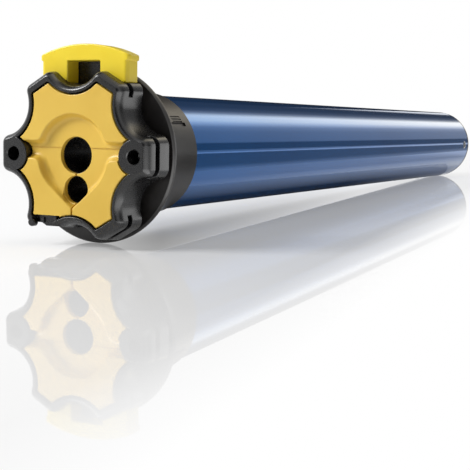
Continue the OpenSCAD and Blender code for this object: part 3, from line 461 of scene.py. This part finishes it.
face = skin("face", [
    ring(face_x + x, star(reach=cover_reach, corner=cover_corner, hollow=cover_hollow, spread=spread))
    for x, spread in ((0, -0.38), (0.05, -0.2), (0.16, -0.07), (0.36, 0), (cover_back - face_x, 0))])
combine(face, skin("recess", [ring(face_x + x, recess(spread)) for x, spread in recess_wall]), "DIFFERENCE")
floor_x = face_x + recess_depth
past_cover = cover_back + 1
for radius, z in ((pivot_radius, 0), (locating_radius, locating_z)):
    hole = [(outside, radius + 0.3), (floor_x - 0.01, radius + 0.3), (floor_x + 0.1, radius + 0.08),
            (floor_x + 0.3, radius), (past_cover, radius)]
    combine(face, turned("hole", hole, z=z), "DIFFERENCE")
for side in (-1, 1):
    clear = boss_radius + boss_gap
    rim = [(outside, clear + 0.25), (face_x, clear + 0.25), (face_x + 0.1, clear + 0.08),
           (face_x + 0.3, clear), (past_cover, clear)]
    combine(face, turned("boss room", rim, y=side * screw_y), "DIFFERENCE")
for name, low, high in (
        ("slit", (outside, -slit_half, -far), (past_cover, slit_half, slit_top)),
        ("parting line", (floor_x - line_depth, -far, line_low), (floor_x + line_depth, far, line_high)),
        ("cable edge", (outside, cable_cut_y, -far), (past_cover, far, cable_edge_z)),
        ("socket room", (socket_room_start, socket_low_y, -far), (past_cover, socket_high_y, socket_top))):
    combine(face, block(name, low, high), "DIFFERENCE")
dress(face, "face_cover")

# %% [markdown]
# ## The lemon cap
# A small moulding that lifts off the two setting buttons: an arched top with a lip at each end, and two legs
# beside a finger notch. `rounded` turns the corners of an outline into arcs. The outline is worked out again
# for each ring along X, with its sides and its edges drawn in by a quarter round at the front and back, so that
# all edges are soft. A Bevel modifier would give every edge one radius, and the real ones differ.

# %% Outline of the cap
cap_front = 7.5
cap_back = 14.5
cap_base = 25.6
cap_top = 39.2
cap_half = 18.2
lip_out = 0.7
lip_height = 1.8
arch_radius = 46.1
arch_steps = 12
notch_half = 6.8
notch_top = 33.2
arch_z = cap_top - arch_radius
end_half = cap_half + lip_out
lip_z = arch_z + math.sqrt(arch_radius ** 2 - end_half ** 2) - lip_height


def rounded(corners):
    """Points of a closed outline of (y, z, radius) corners, run anticlockwise. Radius 0 keeps a corner."""
    points = []
    for i, (y, z, radius) in enumerate(corners):
        here = Vector((y, z))
        if radius == 0:
            points.append(here)
            continue
        back = (Vector(corners[i - 1][:2]) - here).normalized()
        ahead = (Vector(corners[(i + 1) % len(corners)][:2]) - here).normalized()
        half = back.angle(ahead) / 2
        inward = (back + ahead).normalized()
        bend = 1 if back.x * ahead.y - back.y * ahead.x < 0 else -1
        centre = here + inward * radius / math.sin(half)
        for k in range(corner_steps + 1):
            a = bend * (math.pi - 2 * half) * (k / corner_steps - 0.5)
            arm = Matrix.Rotation(a, 2) @ -inward
            points.append(centre + arm * radius)
    return points


def cap_ring(x, side, edge):
    """The cap's outline at x, with its two sides and its other edges drawn in."""
    end = end_half - side
    top = arch_radius - edge
    half_turn = math.asin(end / top)
    right = [(notch_half + edge, cap_base + edge, 0.3), (cap_half - side, cap_base + edge, 0.4),
             (cap_half - side, lip_z, 0.3), (end, lip_z, 0.35), (end, arch_z + top * math.cos(half_turn), 0.8)]
    turns = [half_turn * (1 - i / arch_steps) for i in range(1, 2 * arch_steps)]
    over = [(top * math.sin(a), arch_z + top * math.cos(a), 0) for a in turns]
    left = [(-y, z, radius) for y, z, radius in reversed(right)]
    notch = [(-notch_half - edge, notch_top + edge, 0.4), (notch_half + edge, notch_top + edge, 0.4)]
    return ring(x, rounded(right + over + left + notch))


def quarter(radius, x):
    """How far a quarter round draws in at a distance from its face."""
    return radius - math.sqrt(radius ** 2 - (radius - min(x, radius)) ** 2)


print("The cap's outline has", len(cap_ring(0, 0, 0)), "points")

# %% [markdown]
# The front edge is rounder at the two sides than along the top, so each ring is drawn in by two quarter rounds.
# The legs are hollow from below, as a moulding of even wall thickness is.

# %% Lemon cap
front_steps = (0, 0.04, 0.15, 0.32, 0.55, 0.85, 1.2, 1.5)
front_side_round, front_edge_round = 1.5, 0.55
back_steps = (0.7, 0.4, 0.2, 0.07, 0)
back_side_round, back_edge_round = 0.7, 0.4
cap_wall = 1.15
cap_roof = 4
below_cap = 20

cap_rings = [cap_ring(cap_front + x, quarter(front_side_round, x), quarter(front_edge_round, x))
             for x in front_steps]
cap_rings += [cap_ring(cap_back - x, quarter(back_side_round, x), quarter(back_edge_round, x))
              for x in back_steps]
cap = skin("cap", cap_rings)
leg_room = (cap_half - notch_half) / 2 - cap_wall
for side in (-1, 1):
    leg_middle = side * (notch_half + cap_half) / 2
    room = block("leg room", (cap_front + cap_wall, leg_middle - leg_room, below_cap),
                 (cap_back - cap_wall, leg_middle + leg_room, cap_top - cap_roof))
    combine(cap, room, "DIFFERENCE")
dress(cap, "limit_cap")

# %% [markdown]
# ## The crown
# The CAD model's crown has sharp edges, and fine teeth inside, so its mesh is kept and only some edges are
# changed. A moulded flange has a small round all along its rim, and that round draws a thin line of light. Only
# the rim's edges and the sleeve's end are rounded here: they are picked by their radius and by the angle
# between their two faces. The slots in the sleeve would bend its smooth shading, so the normals of all turned
# faces are worked out from the axis instead.

# %% Crown with a round rim
flange_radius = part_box("crown")[1].y / MM
sleeve_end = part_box("crown")[1].x
rim_round = 0.45
rim_band, end_band = 0.2, 0.05
sleeve_outside = 23
sharp = math.radians(40)
source = frame["nodes"]["crown"]
crown_mesh = source.data.copy()
crown_mesh.transform(source.matrix_world)
bm = bmesh.new()
bm.from_mesh(crown_mesh)
bmesh.ops.remove_doubles(bm, verts=bm.verts, dist=weld)
rim_edges = []
for edge in bm.edges:
    if len(edge.link_faces) == 2 and edge.calc_face_angle() > sharp:
        nearest = min(math.hypot(v.co.y, v.co.z) for v in edge.verts)
        foremost = min(v.co.x for v in edge.verts)
        on_rim = nearest > (flange_radius - rim_band) * MM
        at_end = foremost > sleeve_end - end_band * MM and nearest > sleeve_outside * MM
        if on_rim or at_end:
            rim_edges.append(edge)
bmesh.ops.bevel(bm, geom=rim_edges, offset=rim_round * MM, segments=3, profile=0.5, affect="EDGES")
crown = new_piece("turning_crown", bm)
bpy.data.meshes.remove(crown_mesh)


def turned_shading(piece, tolerance=0.06):
    """Exact normals on faces that are turned about the X axis. All other faces stay flat."""
    mesh = piece.data
    mesh.shade_smooth()
    normals = []
    for face in mesh.polygons:
        outwards = Vector((0, face.center.y, face.center.z)).normalized()
        is_turned = abs(face.normal.cross(outwards).x) < tolerance
        for loop in face.loop_indices:
            spot = mesh.vertices[mesh.loops[loop].vertex_index].co
            here = Vector((0, spot.y, spot.z)).normalized()
            exact = Vector((face.normal.x, 0, 0)) + here * face.normal.dot(outwards)
            normals.append(exact.normalized() if is_turned else face.normal.copy())
    mesh.normals_split_custom_set(normals)


dress(crown, "crown", turned_shading)
print(len(rim_edges), "edges rounded")

# %% [markdown]
# ## The springs
# A coil spring under each button pushes it up, and a third one pushes the brake disc on its lining. Their coils
# are taken as they are from the CAD model. Each copy is a rigid piece that stands in for its node, and a rigid
# copy would be cut by the piece that presses on it.

# %% Springs
button_stroke = 2.5
brake_stroke = 0.6
springs = []
for node, joint, along, stroke in (("up_button_spring", "up_button_press", 2, button_stroke),
                                   ("down_button_spring", "down_button_press", 2, button_stroke),
                                   ("brake_spring", "brake_release", 0, brake_stroke)):
    source = frame["nodes"][node]
    mesh = source.data.copy()
    mesh.transform(source.matrix_world)
    spring = bpy.data.objects.new(node.replace("spring", "coil"), mesh)
    bpy.context.scene.collection.objects.link(spring)
    low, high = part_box(node)
    dress(spring, node)
    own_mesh(spring)
    springs.append(spring)

# %% [markdown]
# ## Materials
# Every material is a Principled shader with a pattern of its own behind it. One small function adds a node with
# its settings and links, and one turns sRGB hex colours into the linear values that Blender mixes. Patterns use
# the object's own coordinates, which are metres here, so a texture's scale is one over the size of the grain.
# Painted images could show the grain as well, but nodes need no unwrapping and stay sharp close up.

# %% Material helpers
def linear(hex_colour):
    """Linear RGBA of an sRGB hex colour."""
    parts = [int(hex_colour[i:i + 2], 16) / 255 for i in (1, 3, 5)]
    return [c / 12.92 if c <= 0.04045 else ((c + 0.055) / 1.055) ** 2.4 for c in parts] + [1]


def add_node(material, kind, settings=None, **inputs):
    """Adds a shader node. Settings are its properties, inputs are values or links for its sockets."""
    node = material.node_tree.nodes.new(kind)
    for name, value in (settings or {}).items():
        setattr(node, name, value)
    for name, value in inputs.items():
        by_number = name.startswith("in")
        socket = node.inputs[int(name[2:]) if by_number else name.replace("_", " ")]
        if isinstance(value, bpy.types.NodeSocket):
            material.node_tree.links.new(value, socket)
        else:
            socket.default_value = value
    return node


def per_mm(size):
    """Texture scale for a grain of this size in millimetres."""
    return 1 / (size * MM)


def new_material(name):
    """A material whose nodes are still to be added."""
    material = bpy.data.materials.new(name)
    material.use_nodes = True
    material.node_tree.nodes.clear()
    return material


def close_material(material, shader):
    """Joins the last shader to the material's output."""
    add_node(material, "ShaderNodeOutputMaterial", Surface=shader.outputs[0])
    return material


def grained(name, dark, light, grain_mm, patch_mm, roughness, bump, stretch=(1, 1, 1), **surface):
    """A surface with patches between two colours, and a fine grain in its relief and its gloss."""
    material = new_material(name)
    place = add_node(material, "ShaderNodeTexCoord")
    along = add_node(material, "ShaderNodeMapping", Vector=place.outputs["Object"], Scale=stretch)
    patches = add_node(material, "ShaderNodeTexNoise", Vector=along.outputs[0], Scale=per_mm(patch_mm),
                       Detail=4.0)
    grain = add_node(material, "ShaderNodeTexNoise", Vector=along.outputs[0], Scale=per_mm(grain_mm),
                     Detail=3.0)
    colour = add_node(material, "ShaderNodeValToRGB", Fac=patches.outputs["Fac"])
    for stop, position, tint in zip(colour.color_ramp.elements, (0.3, 0.7), (dark, light)):
        stop.position = position
        stop.color = linear(tint)
    gloss = add_node(material, "ShaderNodeMapRange", Value=grain.outputs["Fac"], To_Min=roughness[0],
                     To_Max=roughness[1])
    relief = add_node(material, "ShaderNodeBump", Strength=bump, Distance=grain_mm * MM / 4,
                      Height=grain.outputs["Fac"])
    shader = add_node(material, "ShaderNodeBsdfPrincipled", Base_Color=colour.outputs[0],
                      Roughness=gloss.outputs[0], Normal=relief.outputs[0], **surface)
    return close_material(material, shader)


# %% [markdown]
# The plastics are moulded and coloured all through, and the mould gives them a fine grain. What tells them
# apart is their gloss: each has its own IOR, and the higher its roughness, the duller it is.

# %% Finishes of the plastics
finishes = {}
# Deep black with small, soft lights on its round edges. The grain is drawn coarser than it is, so it shows.
finishes["black_plastic"] = grained(
    "moulded glass-filled nylon", "#08080a", "#0e0e10", grain_mm=0.5, patch_mm=14, roughness=(0.24, 0.3),
    bump=0.08, IOR=1.58)
# A warm, even yellow with a satin sheen, whose walls turn to brown in the shade.
finishes["yellow_cover"] = grained(
    "moulded golden ABS", "#d8b141", "#e0bb4b", grain_mm=0.45, patch_mm=18, roughness=(0.34, 0.46),
    bump=0.12, IOR=1.54)
# A cooler, brighter yellow with a waxy gloss.
finishes["lemon_cap"] = grained(
    "moulded lemon polypropylene", "#eed028", "#f4da34", grain_mm=0.6, patch_mm=12, roughness=(0.26, 0.36),
    bump=0.05, IOR=1.49)
# Charcoal, duller than the head beside it, with a broad soft light on its sleeve.
finishes["crown_plastic"] = grained(
    "moulded dark polyamide", "#191716", "#23201f", grain_mm=0.5, patch_mm=10, roughness=(0.32, 0.42),
    bump=0.2, IOR=1.56)
# Milky white with a soft gloss, as gears and wheels of it have.
finishes["limit_acetal"] = grained(
    "natural acetal", "#d6d2c6", "#e2ded3", grain_mm=0.5, patch_mm=8, roughness=(0.35, 0.45), bump=0.1,
    IOR=1.48)
# Nearly black and a little uneven.
finishes["switch_plastic"] = grained(
    "pressed phenolic", "#161416", "#221f20", grain_mm=0.4, patch_mm=6, roughness=(0.4, 0.55), bump=0.2,
    IOR=1.6)
# Brown and speckled, with no gloss at all.
finishes["brake_lining"] = grained(
    "pressed friction lining", "#4a382b", "#6b5443", grain_mm=0.5, patch_mm=1.5, roughness=(0.7, 0.9),
    bump=0.6, IOR=1.5)
print(len(finishes), "plastics")

# %% [markdown]
# The metals have a Metallic value near 1, so that their colour is the colour of what they mirror. A stretch of
# the coordinates turns the grain into the marks of a tool: rings from a lathe, lines between stacked sheets,
# turns of wire. The blue of the tube is a clear lacquer over steel: some of it mirrors like metal, some of it
# is a deep blue of its own, and a thin coat lies over both.

# %% Finishes of the metals
# Bands of pale and dark blue that run along the tube and show the studio around it.
finishes["blue_lacquer"] = grained(
    "blue lacquer on steel", "#0464b0", "#086ab8", grain_mm=1.4, patch_mm=60, roughness=(0.06, 0.09),
    bump=0.03, Metallic=0.65, Coat_Weight=0.35, Coat_Roughness=0.06)
# Light grey with fine turning marks and sharp lights.
finishes["bright_steel"] = grained(
    "machined steel", "#b3b6ba", "#c6c8cb", grain_mm=0.25, patch_mm=5, roughness=(0.22, 0.36), bump=0.15,
    stretch=(0.3, 1, 1), Metallic=1.0)
# Dark, matt grey with faint patches.
finishes["dark_steel"] = grained(
    "phosphated steel", "#5d6064", "#74777b", grain_mm=0.3, patch_mm=4, roughness=(0.42, 0.58), bump=0.3,
    Metallic=1.0)
# Fine lines across the axis, one per sheet. They are drawn coarser than the real 0.5 mm sheets, so they show.
finishes["laminations"] = grained(
    "stacked electrical steel", "#585a5e", "#75777a", grain_mm=0.8, patch_mm=3, roughness=(0.4, 0.55), bump=0.5,
    stretch=(1, 0.05, 0.05), Metallic=1.0)
# Pale, slightly mottled silver.
finishes["aluminium"] = grained(
    "die-cast aluminium", "#bfc2c6", "#d2d4d7", grain_mm=0.4, patch_mm=7, roughness=(0.36, 0.5), bump=0.3,
    Metallic=1.0)
# Golden brown with rings from the lathe.
finishes["bronze"] = grained(
    "turned bronze", "#b18e4a", "#c9a863", grain_mm=0.25, patch_mm=4, roughness=(0.28, 0.4), bump=0.15,
    stretch=(1, 0.3, 0.3), Metallic=1.0)
# Reddish turns of wire under a glossy enamel.
finishes["copper_winding"] = grained(
    "enamelled copper wire", "#9c5a30", "#bb7442", grain_mm=0.7, patch_mm=2.5, roughness=(0.3, 0.42), bump=0.6,
    stretch=(1, 0.15, 1), Metallic=0.8)
print(len(finishes), "finishes in all")

# %% [markdown]
# The record of the model names a slot for every node, and a slot stands for one finish. The CAD nodes take
# theirs from that list. The pieces that were made above get the same finish as the node that they stand for.

# %% Finishes go to their pieces
slot_of = {part["node"]: part["material_slot"] for part in frame["record"]["subparts"]}
for name, node in frame["nodes"].items():
    node.data.materials.clear()
    node.data.materials.append(finishes[slot_of[name]])
made = [(head, "black_plastic"), (face, "yellow_cover"), (cap, "lemon_cap"), (crown, "crown_plastic")]
made += [(spring, "bright_steel") for spring in springs]
for piece, slot in made:
    piece.data.materials.clear()
    piece.data.materials.append(finishes[slot])
print(len(finishes), "finishes on", len(slot_of), "nodes")

# %% [markdown]
# ## The studio
# The motor lies on a glossy white table and touches it with the crown's flange and the tube's far end, so the
# table leans a little against the axis. Away from the motor it fades to the same white as the world, so no
# horizon shows. A mirrored copy of the motor could fake the reflection, but a polished table also gets it right
# when a piece moves.

# %% Table
flange_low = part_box("crown")[0].z
flange_back = 18.05 * MM
end_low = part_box("end_cap")[0].z
end_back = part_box("end_cap")[1].x
lean = math.atan2(end_low - flange_low, end_back - flange_back)
table_size = 6.0
bm = bmesh.new()
for y in (-1, 1):
    for x in (-1, 1):
        bm.verts.new((x * table_size, y * table_size, 0))
bm.verts.ensure_lookup_table()
bm.faces.new([bm.verts[i] for i in (0, 1, 3, 2)])
table = new_piece("table", bm)
table.matrix_world = Matrix.Translation((flange_back, 0, flange_low)) @ Matrix.Rotation(-lean, 4, "Y")
print("Table leans", round(math.degrees(lean), 2), "degrees")

# %% [markdown]
# The table is polished white acrylic: a clear gloss with a trace of haze over a white body. A white glow is
# mixed in, a little near the motor, so that its shadow stays soft, and more and more away from it. The glow is
# also full on the near side of the motor, where the mirror image ends.

# %% Finish of the table
fade_starts, fade_ends = 0.45, 1.3
glow_near = 0.24
near_side = (0.12, -1, 0)
near_starts, near_ends = 0.08, 0.12
acrylic = new_material("white acrylic table")
place = add_node(acrylic, "ShaderNodeTexCoord")
haze = add_node(acrylic, "ShaderNodeTexNoise", Vector=place.outputs["Object"], Scale=per_mm(90), Detail=2.0)
haze_gloss = add_node(acrylic, "ShaderNodeMapRange", Value=haze.outputs["Fac"], To_Min=0.0, To_Max=0.02)
acrylic_shader = add_node(acrylic, "ShaderNodeBsdfPrincipled", Base_Color=linear("#fafafa"), IOR=1.45,
                          Roughness=haze_gloss.outputs[0])
away = add_node(acrylic, "ShaderNodeVectorMath", {"operation": "LENGTH"}, in0=place.outputs["Object"])
fade = add_node(acrylic, "ShaderNodeMapRange", Value=away.outputs["Value"], From_Min=fade_starts,
                From_Max=fade_ends, To_Min=glow_near)
across = add_node(acrylic, "ShaderNodeVectorMath", {"operation": "DOT_PRODUCT"}, in0=place.outputs["Object"],
                  in1=near_side)
near_edge = add_node(acrylic, "ShaderNodeMapRange", Value=across.outputs["Value"], From_Min=near_starts,
                     From_Max=near_ends)
whiter = add_node(acrylic, "ShaderNodeMath", {"operation": "MAXIMUM"}, in0=fade.outputs[0],
                  in1=near_edge.outputs[0])
white_glow = add_node(acrylic, "ShaderNodeEmission", Color=(1, 1, 1, 1), Strength=1.0)
faded = add_node(acrylic, "ShaderNodeMixShader", in0=whiter.outputs[0], in1=acrylic_shader.outputs[0],
                 in2=white_glow.outputs[0])
table.data.materials.append(close_material(acrylic, faded))
print("Table's white starts", fade_starts, "m from the motor's head")

# %% [markdown]
# The world is the white room around the table. To the camera, and in gloss and glass, it is plain white. For
# all other rays it is much weaker, so that the lamps below give the motor its light and shade.

# %% World
ambient = 0.17
world = bpy.data.worlds.new("studio")
bpy.context.scene.world = world
world.use_nodes = True
world.node_tree.nodes.clear()
rays = add_node(world, "ShaderNodeLightPath")
seen = add_node(world, "ShaderNodeMath", {"operation": "ADD"}, in0=rays.outputs["Is Camera Ray"],
                in1=rays.outputs["Is Glossy Ray"])
seen_or_through = add_node(world, "ShaderNodeMath", {"operation": "ADD", "use_clamp": True},
                           in0=seen.outputs[0], in1=rays.outputs["Is Transmission Ray"])
strength = add_node(world, "ShaderNodeMapRange", Value=seen_or_through.outputs[0], To_Min=ambient, To_Max=1.0)
white = add_node(world, "ShaderNodeBackground", Color=(1, 1, 1, 1), Strength=strength.outputs[0])
add_node(world, "ShaderNodeOutputWorld", Surface=white.outputs[0])
print("World strength for soft light:", ambient)

# %% [markdown]
# ### A card over the tube
# Gloss shows what stands around it, and a long tube shows it as bands. A curved card hangs over the table like
# half a tunnel along the tube, and its brightness depends only on the angle about the tube's axis: dark on the
# left, a bright strip overhead, grey on the right and a dark line low down. A colour ramp holds these tones,
# and the angle comes from the place on the card. Its finish is a plain glow, mixed with nothing by the product
# of some shares: each share is 1 where the card shows. Only reflections show it. Lamps would draw bands too,
# but they would also light the table.

# %% Card over the tube
def sheet_finish(material, shares, tone, colour=(1, 1, 1, 1)):
    """A finish that glows with a tone where all its shares are 1, and shows nothing where one is 0."""
    mask = shares[0]
    for share in shares[1:]:
        product = add_node(material, "ShaderNodeMath", {"operation": "MULTIPLY"}, in0=mask, in1=share)
        mask = product.outputs[0]
    clear = add_node(material, "ShaderNodeBsdfTransparent")
    glow = add_node(material, "ShaderNodeEmission", Color=colour, Strength=tone)
    mix = add_node(material, "ShaderNodeMixShader", in0=mask, in1=clear.outputs[0], in2=glow.outputs[0])
    return close_material(material, mix)


def reflected_only(piece, material):
    """Makes a piece of the studio that only shows in reflections."""
    piece.data.materials.append(material)
    piece.visible_camera = False
    piece.visible_diffuse = False
    piece.visible_shadow = False


# Degrees about the axis from the left, brightness and warmth
card_tones = ((42, 1.0, 0), (50, 0.04, 0), (68, 0.06, 0), (81, 0.16, 0), (89, 0.6, 0.1), (97, 2.1, 0.2),
              (109, 2.0, 0.2), (116, 1.4, 0.1), (125, 0.66, 0), (136, 0.48, 0), (159, 0.44, 0), (161, 0.13, 0),
              (173, 0.13, 0), (175, 0.42, 0), (179, 0.42, 0))
brightest = 2.4
card_radius = 1.2
card_ends = (-0.4, 7.0)
card_full = 0.1
card_steps = 48
card_finish = new_material("graded light card")
place = add_node(card_finish, "ShaderNodeTexCoord")
parts = add_node(card_finish, "ShaderNodeSeparateXYZ", Vector=place.outputs["Object"])
turn = add_node(card_finish, "ShaderNodeMath", {"operation": "ARCTAN2"}, in0=parts.outputs["Z"],
                in1=parts.outputs["Y"])
half_turns = add_node(card_finish, "ShaderNodeMath", {"operation": "DIVIDE"}, in0=turn.outputs[0], in1=math.pi)
tones = add_node(card_finish, "ShaderNodeValToRGB", Fac=half_turns.outputs[0])
stops = tones.color_ramp.elements
while len(stops) < len(card_tones):
    stops.new(0.5)
for stop, (degrees, tone, warmth) in zip(stops, card_tones):
    stop.position = degrees / 180
    stop.color = [tone * c / brightest for c in (1 + warmth / 2, 1, 1 - warmth)] + [1]
card_start = add_node(card_finish, "ShaderNodeMapRange", Value=parts.outputs["X"], From_Min=card_ends[0],
                      From_Max=card_full)
sheet_finish(card_finish, [card_start.outputs[0]], tone=brightest, colour=tones.outputs[0])
first, last = card_tones[0][0], card_tones[-1][0]
turns = [math.radians(first + (last - first) * i / card_steps) for i in range(card_steps + 1)]
bm = bmesh.new()
edges = [[bm.verts.new((x, card_radius * math.cos(a), card_radius * math.sin(a))) for a in turns]
         for x in card_ends]
for i in range(card_steps):
    bm.faces.new((edges[0][i], edges[0][i + 1], edges[1][i + 1], edges[1][i]))
reflected_only(new_piece("graded card", bm), card_finish)
print("Card over", last - first, "degrees about the tube")

# %% [markdown]
# ### Sheets close to the motor
# A photographer tapes small sheets around a glossy object to shape what it mirrors, and so does this studio.
# Some show one side only, or only to rays that are short, so that they don't stand in the table's mirror. The
# order of a sheet's corners says which side is its back, and a one-sided sheet here shows its back. Heights are
# measured from the table, which leans by 0.022 along X.

# %% Helpers for sheets
table_up = (-0.022, 0, 1)


def sheet(name, corners):
    """A flat piece of the studio through four corners in metres, whose order gives it its front."""
    mesh = bpy.data.meshes.new(name)
    mesh.from_pydata(corners, [], [range(len(corners))])
    piece = bpy.data.objects.new(name, mesh)
    bpy.context.scene.collection.objects.link(piece)
    print(name, "faces", [round(v) for v in mesh.polygons[0].normal])
    return piece


def upright(name, y, x_ends, feet, top):
    """A sheet that stands along the tube, with a foot at each end and a level top."""
    (start, end), (low_start, low_end) = x_ends, feet
    return sheet(name, ((start, y, low_start), (end, y, low_end), (end, y, top), (start, y, top)))


def lying(name, z, x_ends, y_ends):
    """A level sheet with its back up."""
    (start, end), (right, left) = x_ends, y_ends
    return sheet(name, ((start, right, z), (start, left, z), (end, left, z), (end, right, z)))


# %% [markdown]
# A dark cloth behind the camera gives the black plastic its depth. A high lath keeps the tube's upper edge
# dark. A low lath beside the tube, lighter near the table, gives the lower half its own band.

# %% Cloth and laths
velvet = new_material("black velvet with soft edges")
place = add_node(velvet, "ShaderNodeTexCoord")
from_middle = add_node(velvet, "ShaderNodeMapping", Vector=place.outputs["Object"], Location=(0, 0.06, -0.5),
                       Scale=(0, 0.62, 0.9))
away = add_node(velvet, "ShaderNodeVectorMath", {"operation": "LENGTH"}, in0=from_middle.outputs[0])
thick = add_node(velvet, "ShaderNodeMapRange", Value=away.outputs["Value"], From_Min=0.9, From_Max=0.45)
cloth_x, (right, left), (foot, top) = -1.2, (-1.6, 1.4), (-0.1, 1.5)
cloth = sheet("cloth behind the camera", (
    (cloth_x, right, foot), (cloth_x, left, foot), (cloth_x, left, top), (cloth_x, right, top)))
reflected_only(cloth, sheet_finish(velvet, [thick.outputs[0]], tone=0.01))

lath_limit = 0.2
near_only = new_material("lath for what is close to it")
ray = add_node(near_only, "ShaderNodeLightPath")
is_close = add_node(near_only, "ShaderNodeMath", {"operation": "LESS_THAN"}, in0=ray.outputs["Ray Length"],
                    in1=lath_limit)
high_lath = upright("high lath", y=0.045, x_ends=(0.05, 0.8), feet=(0.026, 0.026), top=0.082)
reflected_only(high_lath, sheet_finish(near_only, [is_close.outputs[0]], tone=0.02))

graded_lath = new_material("one-sided graded lath")
place = add_node(graded_lath, "ShaderNodeTexCoord")
height = add_node(graded_lath, "ShaderNodeVectorMath", {"operation": "DOT_PRODUCT"},
                  in0=place.outputs["Object"], in1=table_up)
tone = add_node(graded_lath, "ShaderNodeMapRange", Value=height.outputs["Value"], From_Min=-0.0271,
                From_Max=-0.019, To_Min=0.5, To_Max=0.19)
side = add_node(graded_lath, "ShaderNodeNewGeometry")
low_lath = upright("low lath", y=-0.045, x_ends=(0.05, 0.64), feet=(-0.026, -0.013), top=-0.0003)
reflected_only(low_lath, sheet_finish(graded_lath, [side.outputs["Backfacing"]], tone=tone.outputs[0]))

# %% [markdown]
# A one-sided dark sheet under the tube, seen only in the tube's gloss, is a painted reflection of the shaded
# table below it: it keeps the tube's lowest edge dark, and fades along the tube. A sheet behind the tube is
# what the table mirrors below it, so it paints the tube's shadow on the table in grey: darkest near the crown,
# and softer at its ends and near its foot.

# %% Painted shade under the tube and painted shadow on the table
# Painted reflection of shade: this sheet stands in for the shaded table under the tube, and only the tube's
# gloss shows it.
paper = new_material("one-sided black paper")
place = add_node(paper, "ShaderNodeTexCoord")
parts = add_node(paper, "ShaderNodeSeparateXYZ", Vector=place.outputs["Object"])
tone = add_node(paper, "ShaderNodeMapRange", Value=parts.outputs["Y"], From_Min=-0.022, From_Max=-0.0105,
                To_Min=0.45, To_Max=0.02)
along_tube = add_node(paper, "ShaderNodeMapRange", Value=parts.outputs["X"], From_Min=0.6, From_Max=0.25)
side = add_node(paper, "ShaderNodeNewGeometry")
painted_shade_sheet = lying("paper under the tube", z=-0.0226, x_ends=(0.05, 0.68), y_ends=(-0.022, 0.012))
shares = [side.outputs["Backfacing"], along_tube.outputs[0]]
reflected_only(painted_shade_sheet, sheet_finish(paper, shares, tone=tone.outputs[0]))

# Painted shadow: this sheet only shows in the table's mirror, where it greys the table under and beside the
# tube as the tube's shadow.
painted_shadow_reach = 0.32
painted_shadow_finish = new_material("graded grey board")
ray = add_node(painted_shadow_finish, "ShaderNodeLightPath")
is_close = add_node(painted_shadow_finish, "ShaderNodeMath", {"operation": "LESS_THAN"}, in0=ray.outputs["Ray Length"],
                    in1=painted_shadow_reach)
place = add_node(painted_shadow_finish, "ShaderNodeTexCoord")
parts = add_node(painted_shadow_finish, "ShaderNodeSeparateXYZ", Vector=place.outputs["Object"])
near_crown = add_node(painted_shadow_finish, "ShaderNodeMapRange", Value=parts.outputs["X"], From_Min=0.5, From_Max=0.18)
soft_start = add_node(painted_shadow_finish, "ShaderNodeMapRange", Value=parts.outputs["X"], From_Min=0.1, From_Max=0.19)
height = add_node(painted_shadow_finish, "ShaderNodeVectorMath", {"operation": "DOT_PRODUCT"}, in0=place.outputs["Object"],
                  in1=table_up)
darker_up = add_node(painted_shadow_finish, "ShaderNodeMapRange", Value=height.outputs["Value"], From_Min=-0.0285,
                     From_Max=-0.016, To_Min=0.2)
board = upright("painted tube shadow sheet behind the tube", y=0.075, x_ends=(0.1, 0.5), feet=(-0.03, -0.021), top=0.006)
shares = [share.outputs[0] for share in (near_crown, soft_start, is_close, darker_up)]
reflected_only(board, sheet_finish(painted_shadow_finish, shares, tone=0.04))

# %% [markdown]
# Two bright cards, one on the table in front and one beside the head, draw lines of light on the black rims and
# on the lobes' flat ends. The second has soft ends, because the tube shows it too from some sides.

# %% Bright cards
bright_card = new_material("one-sided bright card")
side = add_node(bright_card, "ShaderNodeNewGeometry")
low_card = lying("bright card on the table", z=-0.031, x_ends=(-0.25, 0.03), y_ends=(-0.45, -0.045))
reflected_only(low_card, sheet_finish(bright_card, [side.outputs["Backfacing"]], tone=3.0))

soft_card = new_material("one-sided bright card with soft ends")
place = add_node(soft_card, "ShaderNodeTexCoord")
parts = add_node(soft_card, "ShaderNodeSeparateXYZ", Vector=place.outputs["Object"])
soft_start = add_node(soft_card, "ShaderNodeMapRange", Value=parts.outputs["X"], From_Min=0.035, From_Max=0.07)
soft_end = add_node(soft_card, "ShaderNodeMapRange", Value=parts.outputs["X"], From_Min=0.11, From_Max=0.08)
side = add_node(soft_card, "ShaderNodeNewGeometry")
side_card = upright("bright card beside the head", y=-0.08, x_ends=(0.035, 0.11), feet=(-0.025, -0.025),
                    top=0.03)
shares = [soft_start.outputs[0], soft_end.outputs[0], side.outputs["Backfacing"]]
reflected_only(side_card, sheet_finish(soft_card, shares, tone=2.6))

# %% [markdown]
# ### Lamps
# Two soft boxes light the motor at a plain level. The key lamp stands at the upper left, in front of the head,
# and shades the recess. A long strip over the tube fills from above. It is kept out of the gloss, where the
# card already draws the bright band.

# %% Lamps
def softbox(name, place, aim, width, height, watts):
    """A rectangular lamp at a place in metres, turned to a point."""
    data = bpy.data.lights.new(name, "AREA")
    data.shape = "RECTANGLE"
    data.size = width
    data.size_y = height
    data.energy = watts
    lamp = bpy.data.objects.new(name, data)
    turn = (Vector(aim) - Vector(place)).to_track_quat("-Z", "Y").to_matrix().to_4x4()
    lamp.matrix_world = Matrix.Translation(Vector(place)) @ turn
    bpy.context.scene.collection.objects.link(lamp)
    return lamp


softbox("key from the upper left", place=(-0.6, 0.78, 0.68), aim=(0.02, 0, 0), width=0.5, height=0.5, watts=15)
strip = softbox("strip over the tube", place=(0.5, -0.15, 1.1), aim=(0.3, 0, 0), width=0.35, height=2.0,
                watts=5)
strip.visible_glossy = False
print("Lamps:", len(bpy.data.lights))

# %% [markdown]
# ## Look and finish
# The Standard view shows colours as they are written.

# %% Finish
bpy.context.scene.view_settings.view_transform = "Standard"
